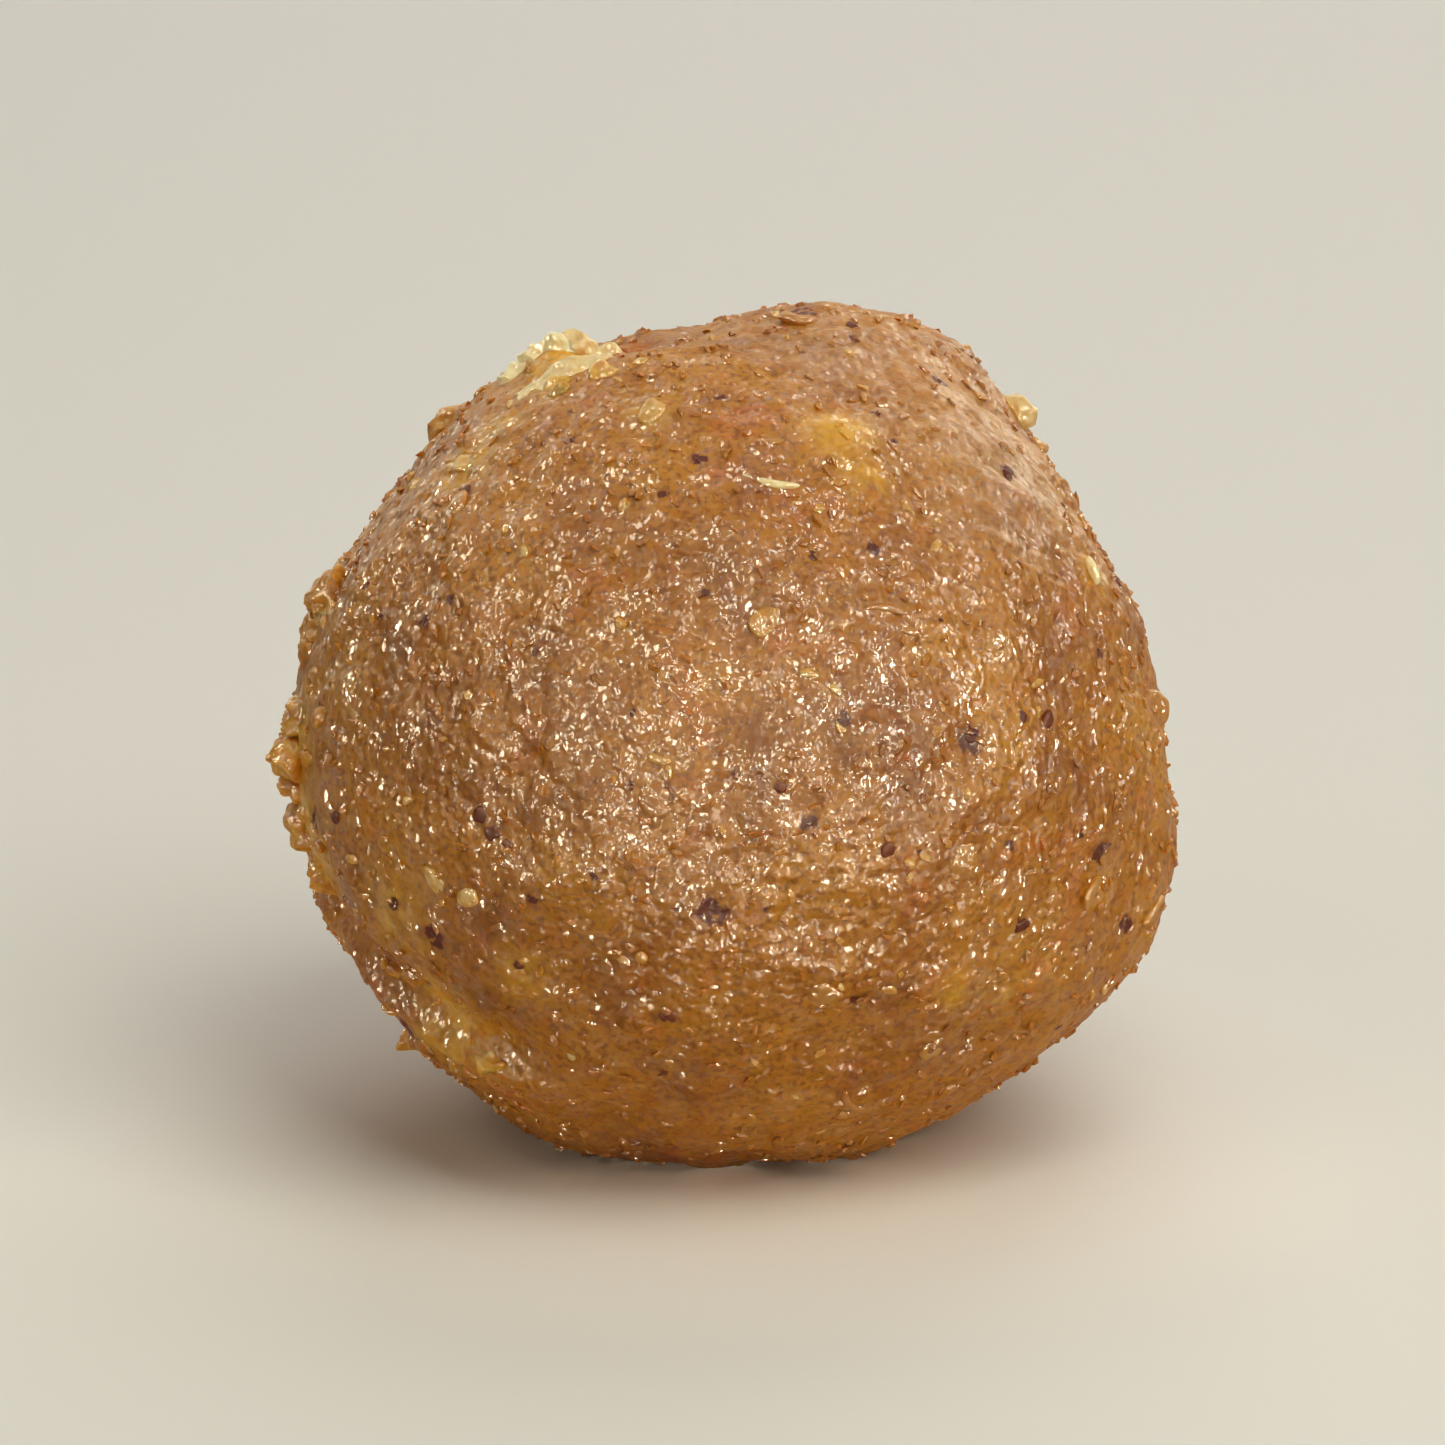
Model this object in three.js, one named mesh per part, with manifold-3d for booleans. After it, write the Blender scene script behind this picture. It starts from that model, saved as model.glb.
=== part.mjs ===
// A coconut ladoo: one hand-rolled ball of ground coconut cooked in jaggery, settled on a small flat.
// Millimetres, +Z up. The origin is the middle of the flat that it rests on, and the front faces -Y.
import * as THREE from "three";
import { mergeVertices } from "three/addons/utils/BufferGeometryUtils.js";
import Module from "manifold-3d";

// Driving dimensions of the ball
const WIDTH = 39.4;
const DEPTH = 38.6;
const HEIGHT = 37.2;
const FLAT_RADIUS = 6.2;
const HALF_HEIGHT = HEIGHT / (1 + Math.sqrt(1 - (2 * FLAT_RADIUS / WIDTH) ** 2));
const CENTRE = new THREE.Vector3(0, 0, HEIGHT - HALF_HEIGHT);
const CORE_DETAIL = 16;
const CUTTER = 60;

// Places on the ball are given as the front view shows them, looking down by this angle in degrees:
// across to the right and up, in millimetres from the ball's middle, and behind where they are at the back
const FRONT_TILT = 17;

// Broad forms left by the palms
const PALM_FORMS = [
  { name: "crown mound", across: 7.6, up: 18.2, spread: 6.0, rise: 1.3 },
  { name: "dip beside the crown", across: -4.0, up: 19.2, spread: 4.6, rise: -1.8 },
  { name: "crumble's foot", across: -7.9, up: 17.7, spread: 1.6, rise: 0.7 },
  { name: "right shoulder flat", across: 16.2, up: 11.2, spread: 6.2, rise: -0.85 },
  { name: "crown's right edge", across: 10.4, up: 16.8, spread: 2.2, rise: 0.35 },
  { name: "left shoulder flat", across: -15.6, up: 11.8, spread: 5.8, rise: -1.2 },
  { name: "left cheek", across: -19.6, up: -1.8, spread: 4.0, rise: -0.1 },
  { name: "left waist", across: -16.0, up: -11.4, spread: 4.6, rise: -1.0 },
  { name: "right waist", across: 19.6, up: 1.8, spread: 3.4, rise: -0.4 },
  { name: "right cheek", across: 17.8, up: -8.0, spread: 6.8, rise: 1.4 },
  { name: "left heel", across: -8.2, up: -17.8, spread: 5.0, rise: 0.7 },
  { name: "right heel", across: 8.6, up: -17.6, spread: 5.4, rise: 0.5 },
  { name: "coconut swelling", across: 5.6, up: 12.9, spread: 2.0, rise: 0.45 },
  { name: "thumb hollow", across: 3.4, up: -14.4, spread: 3.0, rise: -0.5 },
  { name: "back flat", across: 4.0, up: 3.0, spread: 9.0, rise: -0.8, behind: true },
  { name: "back bulge", across: -9.0, up: -3.0, spread: 6.0, rise: 0.7, behind: true },
  { name: "back crease", across: -1.0, up: -11.0, spread: 4.2, rise: -0.8, behind: true },
  { name: "back pinch", across: 12.0, up: -7.0, spread: 3.4, rise: 0.8, behind: true },
];

// Where the rolled skin tore at the lower left: it stands proud along a line, then drops into a hollow
const TORN_LIP = {
  from: { across: -17.6, up: -8.6 },
  to: { across: -9.4, up: -14.8 },
  proud: 0.7,
  slope: 3.4,
  edge: 0.7,
  hollow: 0.6,
  hollowWidth: 1.7,
  fade: 2.2,
};

// Kneaded unevenness of the paste: how wide its lumps are and how far they stand
const KNEADING = [
  { cell: 7.0, height: 0.24, seed: 11 },
  { cell: 3.2, height: 0.26, seed: 23 },
  { cell: 1.8, height: 0.15, seed: 37 },
];
const KNEADING_AXIS = new THREE.Vector3(1, 1, 1).normalize();
const KNEADING_TURN = 0.6;

// Crumbly places, where the paste tore and its crumbs stand up
const CRUMBLY_PLACES = [
  { name: "top left crumble", across: -7.2, up: 16.6, spread: 1.5, crumbs: 5, radius: [0.4, 0.7] },
  { name: "left edge, upper", across: -18.9, up: 0.6, spread: 2.2, crumbs: 5, radius: [0.35, 0.6] },
  { name: "left edge, lower", across: -18.4, up: -4.4, spread: 1.5, crumbs: 4, radius: [0.35, 0.6] },
  { name: "torn lip", across: -14.6, up: -12.6, spread: 2.8, crumbs: 7, radius: [0.4, 0.75] },
  { name: "back tear", across: 7.0, up: -5.0, spread: 3.0, crumbs: 6, radius: [0.4, 0.7], behind: true },
  { name: "back crumble", across: -10.0, up: 9.0, spread: 2.4, crumbs: 5, radius: [0.4, 0.7], behind: true },
];
const CRUMB_SUNK = 0.35;
const CRUMB_SEED = 401;

// Crags, the torn ledges of paste: half of their length, width and height, and their turn in degrees
const CRAGS = [
  { name: "shoulder ledge", across: -13.0, up: 14.8, half: [1.4, 1.0, 1.2], turn: 92 },
  { name: "upper ledge", across: -18.3, up: 6.4, half: [1.4, 1.5, 1.0], turn: 84 },
  { name: "upper ledge's foot", across: -18.8, up: 4.6, half: [1.5, 1.4, 0.7], turn: 92 },
  { name: "left ledge, top", across: -19.4, up: 0.8, half: [1.2, 1.7, 1.6], turn: 84 },
  { name: "left ledge, middle", across: -19.5, up: -0.9, half: [1.4, 2.0, 1.9], turn: 95 },
  { name: "left ledge, foot", across: -19.4, up: -2.1, half: [0.7, 1.6, 1.3], turn: 76 },
  { name: "left tooth", across: -19.2, up: -4.1, half: [1.2, 1.4, 1.6], turn: 90 },
  { name: "tooth's foot", across: -18.5, up: -6.3, half: [1.3, 1.3, 1.5], turn: 98 },
  { name: "right lump", across: 13.3, up: 14.8, half: [1.0, 0.8, 1.2], turn: 90 },
  { name: "top flake, left", across: -9.6, up: 16.9, half: [1.3, 0.6, 1.2], turn: 92 },
  { name: "top flake, tip", across: -8.4, up: 17.5, half: [1.3, 0.6, 1.6], turn: 84 },
  { name: "top flake, middle", across: -7.2, up: 18.0, half: [1.3, 0.5, 1.1], turn: 94 },
  { name: "top flake, right", across: -5.9, up: 18.4, half: [1.0, 0.5, 0.7], turn: 88 },
  { name: "flake's foot", across: -7.6, up: 16.9, half: [2.2, 1.0, 0.6], turn: 90 },
  { name: "lip tooth", across: -14.1, up: -13.6, half: [0.5, 0.6, 1.2], turn: 90 },
  { name: "lip curl", across: -10.4, up: -14.2, half: [0.9, 0.4, 0.55], turn: 8 },
  { name: "lip crumb", across: -11.9, up: -14.3, half: [0.7, 0.5, 0.7], turn: 80 },
  { name: "back edge", across: 17.5, up: 3.0, half: [1.0, 0.7, 0.8], turn: 90, behind: true },
  { name: "back tear, upper", across: 8.2, up: -4.0, half: [1.3, 0.8, 0.9], turn: 30, behind: true },
  { name: "back tear, lower", across: 5.8, up: -5.8, half: [1.1, 0.7, 0.9], turn: 100, behind: true },
  { name: "back ledge, upper", across: -10.6, up: 9.8, half: [1.2, 0.7, 1.0], turn: 60, behind: true },
  { name: "back ledge, lower", across: -9.0, up: 8.0, half: [0.9, 0.7, 0.8], turn: 130, behind: true },
];
const CRAG_SUNK = 0.3;
const CRAG_SEED = 601;

// Bits that the front view shows: coconut scraps and a shred, and pieces of the nut's brown skin
const SEEN_BITS = [
  { kind: "shred", across: 1.9, up: 11.4, length: 2.8, turn: -17, tilt: 4 },
  { kind: "scrap", across: 16.5, up: 7.4, radius: 0.8, turn: 80, tilt: 40 },
  { kind: "scrap", across: -3.4, up: 14.5, radius: 0.8, turn: 10, tilt: 12 },
  { kind: "scrap", across: -11.7, up: 12.6, radius: 0.9, turn: 150, tilt: 20 },
  { kind: "scrap", across: -12.9, up: -6.4, radius: 0.7, turn: 40, tilt: 16 },
  { kind: "scrap", across: -11.5, up: -7.1, radius: 0.6, turn: 200, tilt: 20 },
  { kind: "skin", across: -10.9, up: -3.4, radius: 0.5, turn: 30, tilt: 10 },
  { kind: "skin", across: -10.3, up: -4.3, radius: 0.55, turn: 110, tilt: 4 },
  { kind: "skin", across: -9.7, up: -4.8, radius: 0.35, turn: 60, tilt: 4 },
  { kind: "skin", across: 7.2, up: -5.0, radius: 0.5, turn: 100, tilt: 6 },
  { kind: "skin", across: 14.4, up: 0.7, radius: 0.45, turn: 10, tilt: 8 },
];
const SEEN_SEED = 53;

// Bits of the same kinds spread over the rest of the ball
const SPREAD_BITS = [
  { kind: "scrap", count: 28, seed: 101, size: [0.6, 1.1], tilt: [4, 26] },
  { kind: "shred", count: 8, seed: 211, size: [2.0, 3.0], tilt: [-8, 8] },
  { kind: "skin", count: 16, seed: 307, size: [0.3, 0.5], tilt: [0, 12] },
];
const CLEAR_OF_SEEN = 2.4;
const LOWEST_BIT = -58;
const GOLDEN_ANGLE = Math.PI * (3 - Math.sqrt(5));

const SCRAP_THICKNESS = 0.44;
const SCRAP_SIDES = 6;
const SKIN_THICKNESS = 0.3;
const SKIN_SIDES = 5;
const SHRED_WIDTH = 0.42;
const SHRED_THICKNESS = 0.36;
const SHRED_STEPS = 4;
const UNEVEN = [0.72, 1.2];
const TIP_REACH = 9;
const WELD = 1e-4;

const RIGHT = new THREE.Vector3(1, 0, 0);
const UP = new THREE.Vector3(0, 0, 1);
const radians = THREE.MathUtils.degToRad;

const wasm = await Module();
wasm.setup();

// A seeded run of numbers from 0 to 1
function draws(seed) {
  let state = seed;
  return () => {
    state = (Math.imul(state, 1664525) + 1013904223) >>> 0;
    return state / 2 ** 32;
  };
}

// The number a share of the way along a range
function within([low, high], share) {
  return low + (high - low) * share;
}

// The direction from the ball's middle to a place that is given as the front view shows it
function seenAt({ across, up, behind }) {
  const reach = WIDTH / 2;
  const above = new THREE.Vector3(0, Math.sin(radians(FRONT_TILT)), Math.cos(radians(FRONT_TILT)));
  const towards = RIGHT.clone().cross(above);
  const out = Math.sqrt(Math.max(0, reach ** 2 - across ** 2 - up ** 2));
  return new THREE.Vector3()
    .addScaledVector(RIGHT, across)
    .addScaledVector(above, up)
    .addScaledVector(towards, behind ? -out : out)
    .normalize();
}

// A number from 0 to 1 for a corner of the noise's grid
function cornerValue(x, y, z, seed) {
  let hash = Math.imul(x, 374761393) ^ Math.imul(y, 668265263);
  hash ^= Math.imul(z, 1440662683) ^ Math.imul(seed, 1274126177);
  hash = Math.imul(hash ^ (hash >>> 13), 1274126177);
  return ((hash ^ (hash >>> 16)) >>> 0) / 2 ** 32;
}

// Smooth noise from -1 to 1 at a point, with lumps as wide as the cell
function lumps(point, cell, seed) {
  const at = point.clone().applyAxisAngle(KNEADING_AXIS, KNEADING_TURN).divideScalar(cell).toArray();
  const base = at.map(Math.floor);
  const ease = at.map((v, i) => THREE.MathUtils.smoothstep(v - base[i], 0, 1));
  let sum = 0;
  for (let corner = 0; corner < 8; corner++) {
    const far = [corner & 1, (corner >> 1) & 1, (corner >> 2) & 1];
    const share = far.reduce((product, on, i) => product * (on ? ease[i] : 1 - ease[i]), 1);
    sum += share * cornerValue(...base.map((v, i) => v + far[i]), seed);
  }
  return 2 * sum - 1;
}

function roundReach(direction) {
  return 1 / Math.hypot(
    direction.x / (WIDTH / 2), direction.y / (DEPTH / 2), direction.z / HALF_HEIGHT);
}

const palmForms = PALM_FORMS.map((form) => ({ ...form, direction: seenAt(form) }));
const lipStart = seenAt(TORN_LIP.from).multiplyScalar(WIDTH / 2);
const lipEnd = seenAt(TORN_LIP.to).multiplyScalar(WIDTH / 2);
const lipAlong = lipEnd.clone().sub(lipStart).normalize();
const lipOut = lipEnd.clone().add(lipStart).normalize();
const lipDown = lipAlong.clone().cross(lipOut).negate();

// How far the torn lip lifts the surface at a point of the round ball
function lipRise(point) {
  const { proud, slope, edge, hollow, hollowWidth, fade } = TORN_LIP;
  const offset = point.clone().sub(lipStart);
  if (point.dot(lipOut) < 0) return 0;
  const along = offset.dot(lipAlong);
  const past = Math.max(0, -along, along - lipEnd.distanceTo(lipStart));
  const shown = Math.exp(-((past / fade) ** 2));
  const down = offset.dot(lipDown);
  if (down < 0) return shown * proud * Math.exp(-((down / slope) ** 2));
  const sunk = (down / hollowWidth) ** 2;
  return shown * (proud * Math.exp(-((down / edge) ** 2)) - hollow * sunk * Math.exp(1 - sunk));
}

// How far the paste's surface is from the ball's middle in a direction
function reachOf(direction) {
  const round = roundReach(direction);
  const point = direction.clone().multiplyScalar(round);
  let reach = round + lipRise(point);
  for (const form of palmForms) {
    const apart = direction.angleTo(form.direction) * round / form.spread;
    reach += form.rise * Math.exp(-apart * apart);
  }
  for (const { cell, height, seed } of KNEADING) reach += height * lumps(point, cell, seed);
  return reach;
}

// A closed geometry with shared vertices, and nothing but their places
function welded(geometry) {
  geometry.deleteAttribute("normal");
  geometry.deleteAttribute("uv");
  return mergeVertices(geometry, WELD);
}

// Moves every vertex of a geometry by a rule
function reshaped(geometry, rule) {
  const position = geometry.getAttribute("position");
  const point = new THREE.Vector3();
  for (let i = 0; i < position.count; i++) {
    rule(point.fromBufferAttribute(position, i));
    position.setXYZ(i, point.x, point.y, point.z);
  }
  return geometry;
}

function solidOf(geometry) {
  return new wasm.Manifold(new wasm.Mesh({
    numProp: 3,
    vertProperties: geometry.getAttribute("position").array,
    triVerts: new Uint32Array(geometry.index.array),
  }));
}

// The ball of paste, cut flat where it rests
function core() {
  const ball = reshaped(welded(new THREE.IcosahedronGeometry(1, CORE_DETAIL)), (point) => {
    point.normalize();
    point.multiplyScalar(reachOf(point)).add(CENTRE);
  });
  const below = welded(new THREE.BoxGeometry(CUTTER, CUTTER, CUTTER));
  below.translate(0, 0, -CUTTER / 2);
  return solidOf(ball).subtract(solidOf(below));
}

// Sets a small geometry on the paste. It is modelled round its own origin with +Z outwards. The turn is
// seen from outside, anticlockwise from level, and the tilt then lifts its near side, both in degrees
function setOn(geometry, direction, { turn = 0, tilt = 0, lift = 0 }) {
  const level = UP.clone().cross(direction).normalize();
  const rising = direction.clone().cross(level);
  const place = direction.clone().multiplyScalar(reachOf(direction) + lift).add(CENTRE);
  return geometry
    .rotateX(radians(tilt))
    .rotateZ(radians(turn))
    .applyMatrix4(new THREE.Matrix4().makeBasis(level, rising, direction).setPosition(place));
}

// A thin angular chip with an uneven outline
function chip(radius, thickness, sides, draw) {
  const plate = welded(new THREE.CylinderGeometry(radius, radius, thickness, sides));
  plate.rotateX(Math.PI / 2);
  const uneven = Array.from({ length: sides }, () => within(UNEVEN, draw()));
  return reshaped(plate, (point) => {
    const turns = Math.atan2(point.x, -point.y) / (2 * Math.PI) + 1;
    const stretch = uneven[Math.round(turns * sides) % sides];
    point.x *= stretch;
    point.y *= stretch;
  });
}

// A curved coconut shred, pointed at its ends, bent down to follow the ball
function shred(length, draw) {
  const bend = within([0.05, 0.16], draw());
  const strip = welded(new THREE.BoxGeometry(length, SHRED_WIDTH, SHRED_THICKNESS, SHRED_STEPS, 1, 1));
  return reshaped(strip, (point) => {
    const along = 2 * point.x / length;
    point.y = point.y * (1 - 0.4 * along ** 2) + bend * length * along ** 2;
    point.z -= point.x ** 2 / WIDTH;
  });
}

// A rounded lump of these half sizes, pulled out unevenly towards each of an icosahedron's tips
function lump(half, detail, draw) {
  const corners = welded(new THREE.IcosahedronGeometry(1)).getAttribute("position");
  const tips = Array.from({ length: corners.count }, (_, i) => ({
    tip: new THREE.Vector3().fromBufferAttribute(corners, i),
    pull: within(UNEVEN, draw()),
  }));
  return reshaped(welded(new THREE.IcosahedronGeometry(1, detail)), (point) => {
    let sum = 0;
    let weights = 0;
    for (const { tip, pull } of tips) {
      const weight = Math.exp(TIP_REACH * (point.dot(tip) - 1));
      sum += weight * pull;
      weights += weight;
    }
    point.multiplyScalar(sum / weights).multiply(new THREE.Vector3(...half));
  });
}

const MAKERS = {
  scrap: (size, draw) => chip(size, SCRAP_THICKNESS, SCRAP_SIDES, draw),
  skin: (size, draw) => chip(size, SKIN_THICKNESS, SKIN_SIDES, draw),
  shred: (size, draw) => shred(size, draw),
};

// The bits that the front view shows
function seenBits() {
  const draw = draws(SEEN_SEED);
  return SEEN_BITS.map(({ kind, radius, length, turn, tilt, ...place }) => {
    const bit = MAKERS[kind](radius ?? length, draw);
    return solidOf(setOn(bit, seenAt(place), { turn, tilt }));
  });
}

// Directions spread evenly over the ball, each a little off its place, clear of the resting side
function spreadOver(count, draw) {
  const lowest = Math.sin(radians(LOWEST_BIT));
  return Array.from({ length: count }, (_, i) => {
    const height = 1 - (1 - lowest) * (i + draw()) / count;
    const angle = i * GOLDEN_ANGLE + draw();
    const across = Math.sqrt(1 - height * height);
    return new THREE.Vector3(across * Math.cos(angle), across * Math.sin(angle), height);
  });
}

// Bits of one kind over the whole ball, with room left round those that the front view shows
function spreadBits({ kind, count, seed, size, tilt }) {
  const draw = draws(seed);
  const seen = SEEN_BITS.map(seenAt);
  return spreadOver(count, draw).flatMap((direction) => {
    const bit = MAKERS[kind](within(size, draw()), draw);
    const pose = { turn: 360 * draw(), tilt: within(tilt, draw()) };
    const room = Math.min(...seen.map((other) => direction.angleTo(other))) * WIDTH / 2;
    return room < CLEAR_OF_SEEN ? [] : [solidOf(setOn(bit, direction, pose))];
  });
}

// The crumbs that stand up at one crumbly place
function crumbs({ spread, crumbs: count, radius, ...place }, n) {
  const draw = draws(CRUMB_SEED + n);
  const middle = seenAt(place);
  return Array.from({ length: count }, () => {
    const stray = new THREE.Vector3(draw() - 0.5, draw() - 0.5, draw() - 0.5);
    const direction = middle.clone().addScaledVector(stray, 4 * spread / WIDTH).normalize();
    const size = within(radius, draw());
    const crumb = lump([size, size, size], 0, draw);
    return solidOf(setOn(crumb, direction, { turn: 360 * draw(), lift: -CRUMB_SUNK * size }));
  });
}

// The crags, each at its own place
function crags() {
  const draw = draws(CRAG_SEED);
  return CRAGS.map(({ half, turn, ...place }) => {
    const crag = lump(half, 1, draw);
    return solidOf(setOn(crag, seenAt(place), { turn, lift: -CRAG_SUNK * half[2] }));
  });
}

// The ball with all that stands on it as one body: what sealed inside or came loose is left out
function joined() {
  const pieces = [
    ...seenBits(), ...SPREAD_BITS.flatMap(spreadBits), ...CRUMBLY_PLACES.flatMap(crumbs), ...crags(),
  ];
  const whole = wasm.Manifold.union([core(), ...pieces]);
  return whole.decompose().sort((a, b) => b.volume() - a.volume())[0];
}

// A joined solid as a three.js geometry
function geometryOf(solid) {
  const { vertProperties, triVerts, numProp } = solid.getMesh();
  const geometry = new THREE.BufferGeometry();
  geometry.setAttribute("position", new THREE.BufferAttribute(vertProperties, numProp));
  geometry.setIndex(new THREE.BufferAttribute(triVerts, 1));
  geometry.computeVertexNormals();
  return geometry;
}

const paste = new THREE.MeshStandardMaterial({ color: 0xad7e53, roughness: 0.4, metalness: 0 });
const ladoo = new THREE.Mesh(geometryOf(joined()), paste);
ladoo.name = "ladoo";

const root = new THREE.Group();
root.add(ladoo);
export default root;
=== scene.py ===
"""Looks of a coconut ladoo: one hand-rolled ball of ground coconut and jaggery paste, wet and grainy.

The scene is in metres, +Z up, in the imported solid's frame, and the ball's front faces -Y. The ball's own
sizes are written in millimetres, as the form is worked out from its middle, and MM turns them to metres.
"""

import itertools
import logging
import math
from dataclasses import dataclass, field
from enum import Enum

import bpy
import numpy as np
from mathutils import Matrix, Vector


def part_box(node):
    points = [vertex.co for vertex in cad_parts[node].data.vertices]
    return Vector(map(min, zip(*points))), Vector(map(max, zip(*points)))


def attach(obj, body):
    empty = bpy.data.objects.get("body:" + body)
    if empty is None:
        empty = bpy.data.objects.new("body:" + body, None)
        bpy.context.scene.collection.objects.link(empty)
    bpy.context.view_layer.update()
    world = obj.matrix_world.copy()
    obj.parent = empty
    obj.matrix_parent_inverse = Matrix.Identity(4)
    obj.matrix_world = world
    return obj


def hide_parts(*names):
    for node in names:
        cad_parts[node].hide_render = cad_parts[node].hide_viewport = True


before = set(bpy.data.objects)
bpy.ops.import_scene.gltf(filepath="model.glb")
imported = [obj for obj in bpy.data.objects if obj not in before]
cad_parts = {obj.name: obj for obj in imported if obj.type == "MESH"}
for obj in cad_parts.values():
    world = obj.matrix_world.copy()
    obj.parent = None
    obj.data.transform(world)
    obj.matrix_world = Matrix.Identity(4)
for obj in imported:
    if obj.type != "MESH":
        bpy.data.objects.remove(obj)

MM = 0.001
WORD = 2**32
GOLDEN = (1 + math.sqrt(5)) / 2
GOLDEN_TURN = math.pi * (3 - math.sqrt(5))
NODE = "ladoo"
BODY = "root"
Span = tuple[float, float]
Triple = tuple[float, float, float]
Colour = Triple

log = logging.getLogger("ladoo")


class Slot(Enum):
    """The record's material slots."""

    PASTE = "paste"
    COCONUT = "coconut"
    SKIN = "nut_skin"


class BitKind(Enum):
    """The kinds of bit that stand on the paste."""

    SCRAP = "scrap"
    SHRED = "shred"
    SKIN = "skin"


def display(red: int, green: int, blue: int) -> Colour:
    """Turn a colour as a screen shows it into the linear one that shaders take.

    Args:
        red, green, blue: each from 0 to 255.

    Returns:
        The linear colour, each from 0 to 1.
    """
    def channel(value: int) -> float:
        """The linear share of one channel."""
        share = value / 255
        return share / 12.92 if share <= 0.04045 else ((share + 0.055) / 1.055) ** 2.4

    return channel(red), channel(green), channel(blue)


class Draws:
    """A seeded run of numbers from 0 to 1, the same as the solid's."""

    factor: int = 1664525
    step: int = 1013904223

    def __init__(self, seed: int) -> None:
        """Start the run at a seed."""
        self._state = seed

    def __call__(self) -> float:
        """The next number."""
        self._state = (self._state * self.factor + self.step) % WORD
        return self._state / WORD

    def within(self, span: Span) -> float:
        """The next number, spread over a span."""
        return span[0] + (span[1] - span[0]) * self()

    def several(self, span: Span, count: int) -> list[float]:
        """The next numbers, spread over a span."""
        return [self.within(span) for _ in range(count)]

    def stray(self) -> np.ndarray:
        """The next three numbers less a half."""
        return np.array([self() - 0.5 for _ in range(3)])


def corner_value(corner: np.ndarray, seed: int) -> np.ndarray:
    """Give each corner of a grid its number.

    Args:
        corner: whole-numbered corners, one to a row.
        seed: picks the set of numbers.

    Returns:
        A number from 0 to 1 for each corner.
    """
    stir, stir_x, stir_y, stir_z = 1274126177, 374761393, 668265263, 1440662683
    x, y, z = (corner.astype(np.int64) % WORD).astype(np.uint32).T
    value = x * np.uint32(stir_x) ^ y * np.uint32(stir_y) ^ z * np.uint32(stir_z)
    value ^= np.uint32(seed * stir % WORD)
    value = (value ^ (value >> np.uint32(13))) * np.uint32(stir)
    return (value ^ (value >> np.uint32(16))) / WORD


class Kneading:
    """Smooth noise whose grid is turned away from the ball's axes."""

    turn = np.array(Matrix.Rotation(0.6, 3, Vector((1, 1, 1))))

    @classmethod
    def lumps(cls, points: np.ndarray, cell: float, seed: int) -> np.ndarray:
        """Work out the noise at points.

        Args:
            points: places, one to a row, in millimetres.
            cell: how wide the lumps are.
            seed: picks the pattern.

        Returns:
            The noise, from -1 to 1.
        """
        at = points @ cls.turn.T / cell
        base = np.floor(at)
        part = at - base
        ease = part * part * (3 - 2 * part)
        total = np.zeros(len(points))
        for corner in range(8):
            far = np.array([corner & 1, (corner >> 1) & 1, (corner >> 2) & 1])
            share = np.prod(np.where(far, ease, 1 - ease), axis=1)
            total += share * corner_value(base + far, seed)
        return 2 * total - 1

    @classmethod
    def nearest(
        cls, points: np.ndarray, cell: float, seed: int, slim: float = 1.0,
    ) -> tuple[np.ndarray, np.ndarray]:
        """Find the nearest of the scattered grains.

        Args:
            points: places, one to a row, in millimetres.
            cell: how far apart the grains are.
            seed: picks the scatter.
            slim: how wide a grain is for its length. Each lies its own way.

        Returns:
            How far the nearest grain's middle is, in cells, and that grain's own number from 0 to 1.
        """
        at = points @ cls.turn.T / cell
        base = np.floor(at)
        nearest = np.full(len(points), np.inf)
        number = np.zeros(len(points))
        for step in np.ndindex(3, 3, 3):
            corner = base + np.array(step) - 1
            middle = corner + np.stack([corner_value(corner, seed + axis) for axis in range(3)], axis=1)
            lie = np.stack([corner_value(corner, seed + 4 + axis) for axis in range(3)], axis=1) - 0.5
            lie /= np.linalg.norm(lie, axis=1)[:, None]
            offset = at - middle
            along = np.sum(offset * lie, axis=1)
            apart = np.sqrt(np.sum(offset**2, axis=1) - (1 - slim**2) * along**2)
            closer = apart < nearest
            nearest = np.where(closer, apart, nearest)
            number = np.where(closer, corner_value(corner, seed + 3), number)
        return nearest, number


@dataclass(frozen=True)
class Place:
    """A place on the ball as the front view shows it, in millimetres from the ball's middle."""

    across: float
    up: float
    behind: bool = False


@dataclass(frozen=True)
class PalmForm:
    """A broad mound or hollow that the palms left."""

    place: Place
    spread: float
    rise: float


@dataclass(frozen=True)
class Patch:
    """A soft-edged patch, pale, or smooth with a painted sheen: where it is, how far it spreads and how
    strong it is.
    """

    place: Place
    spread: float
    strength: float


@dataclass(frozen=True)
class Noise:
    """One size of unevenness: how wide its lumps are and how far they stand."""

    cell: float
    height: float
    seed: int


@dataclass(frozen=True)
class TornLip:
    """Where the rolled skin tore: it stands proud along a line, then drops into a hollow."""

    start: Place = Place(-17.6, -8.6)
    end: Place = Place(-9.4, -14.8)
    proud: float = 0.7
    slope: float = 3.4
    edge: float = 0.7
    hollow: float = 0.6
    hollow_width: float = 1.7
    fade: float = 2.2


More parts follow.
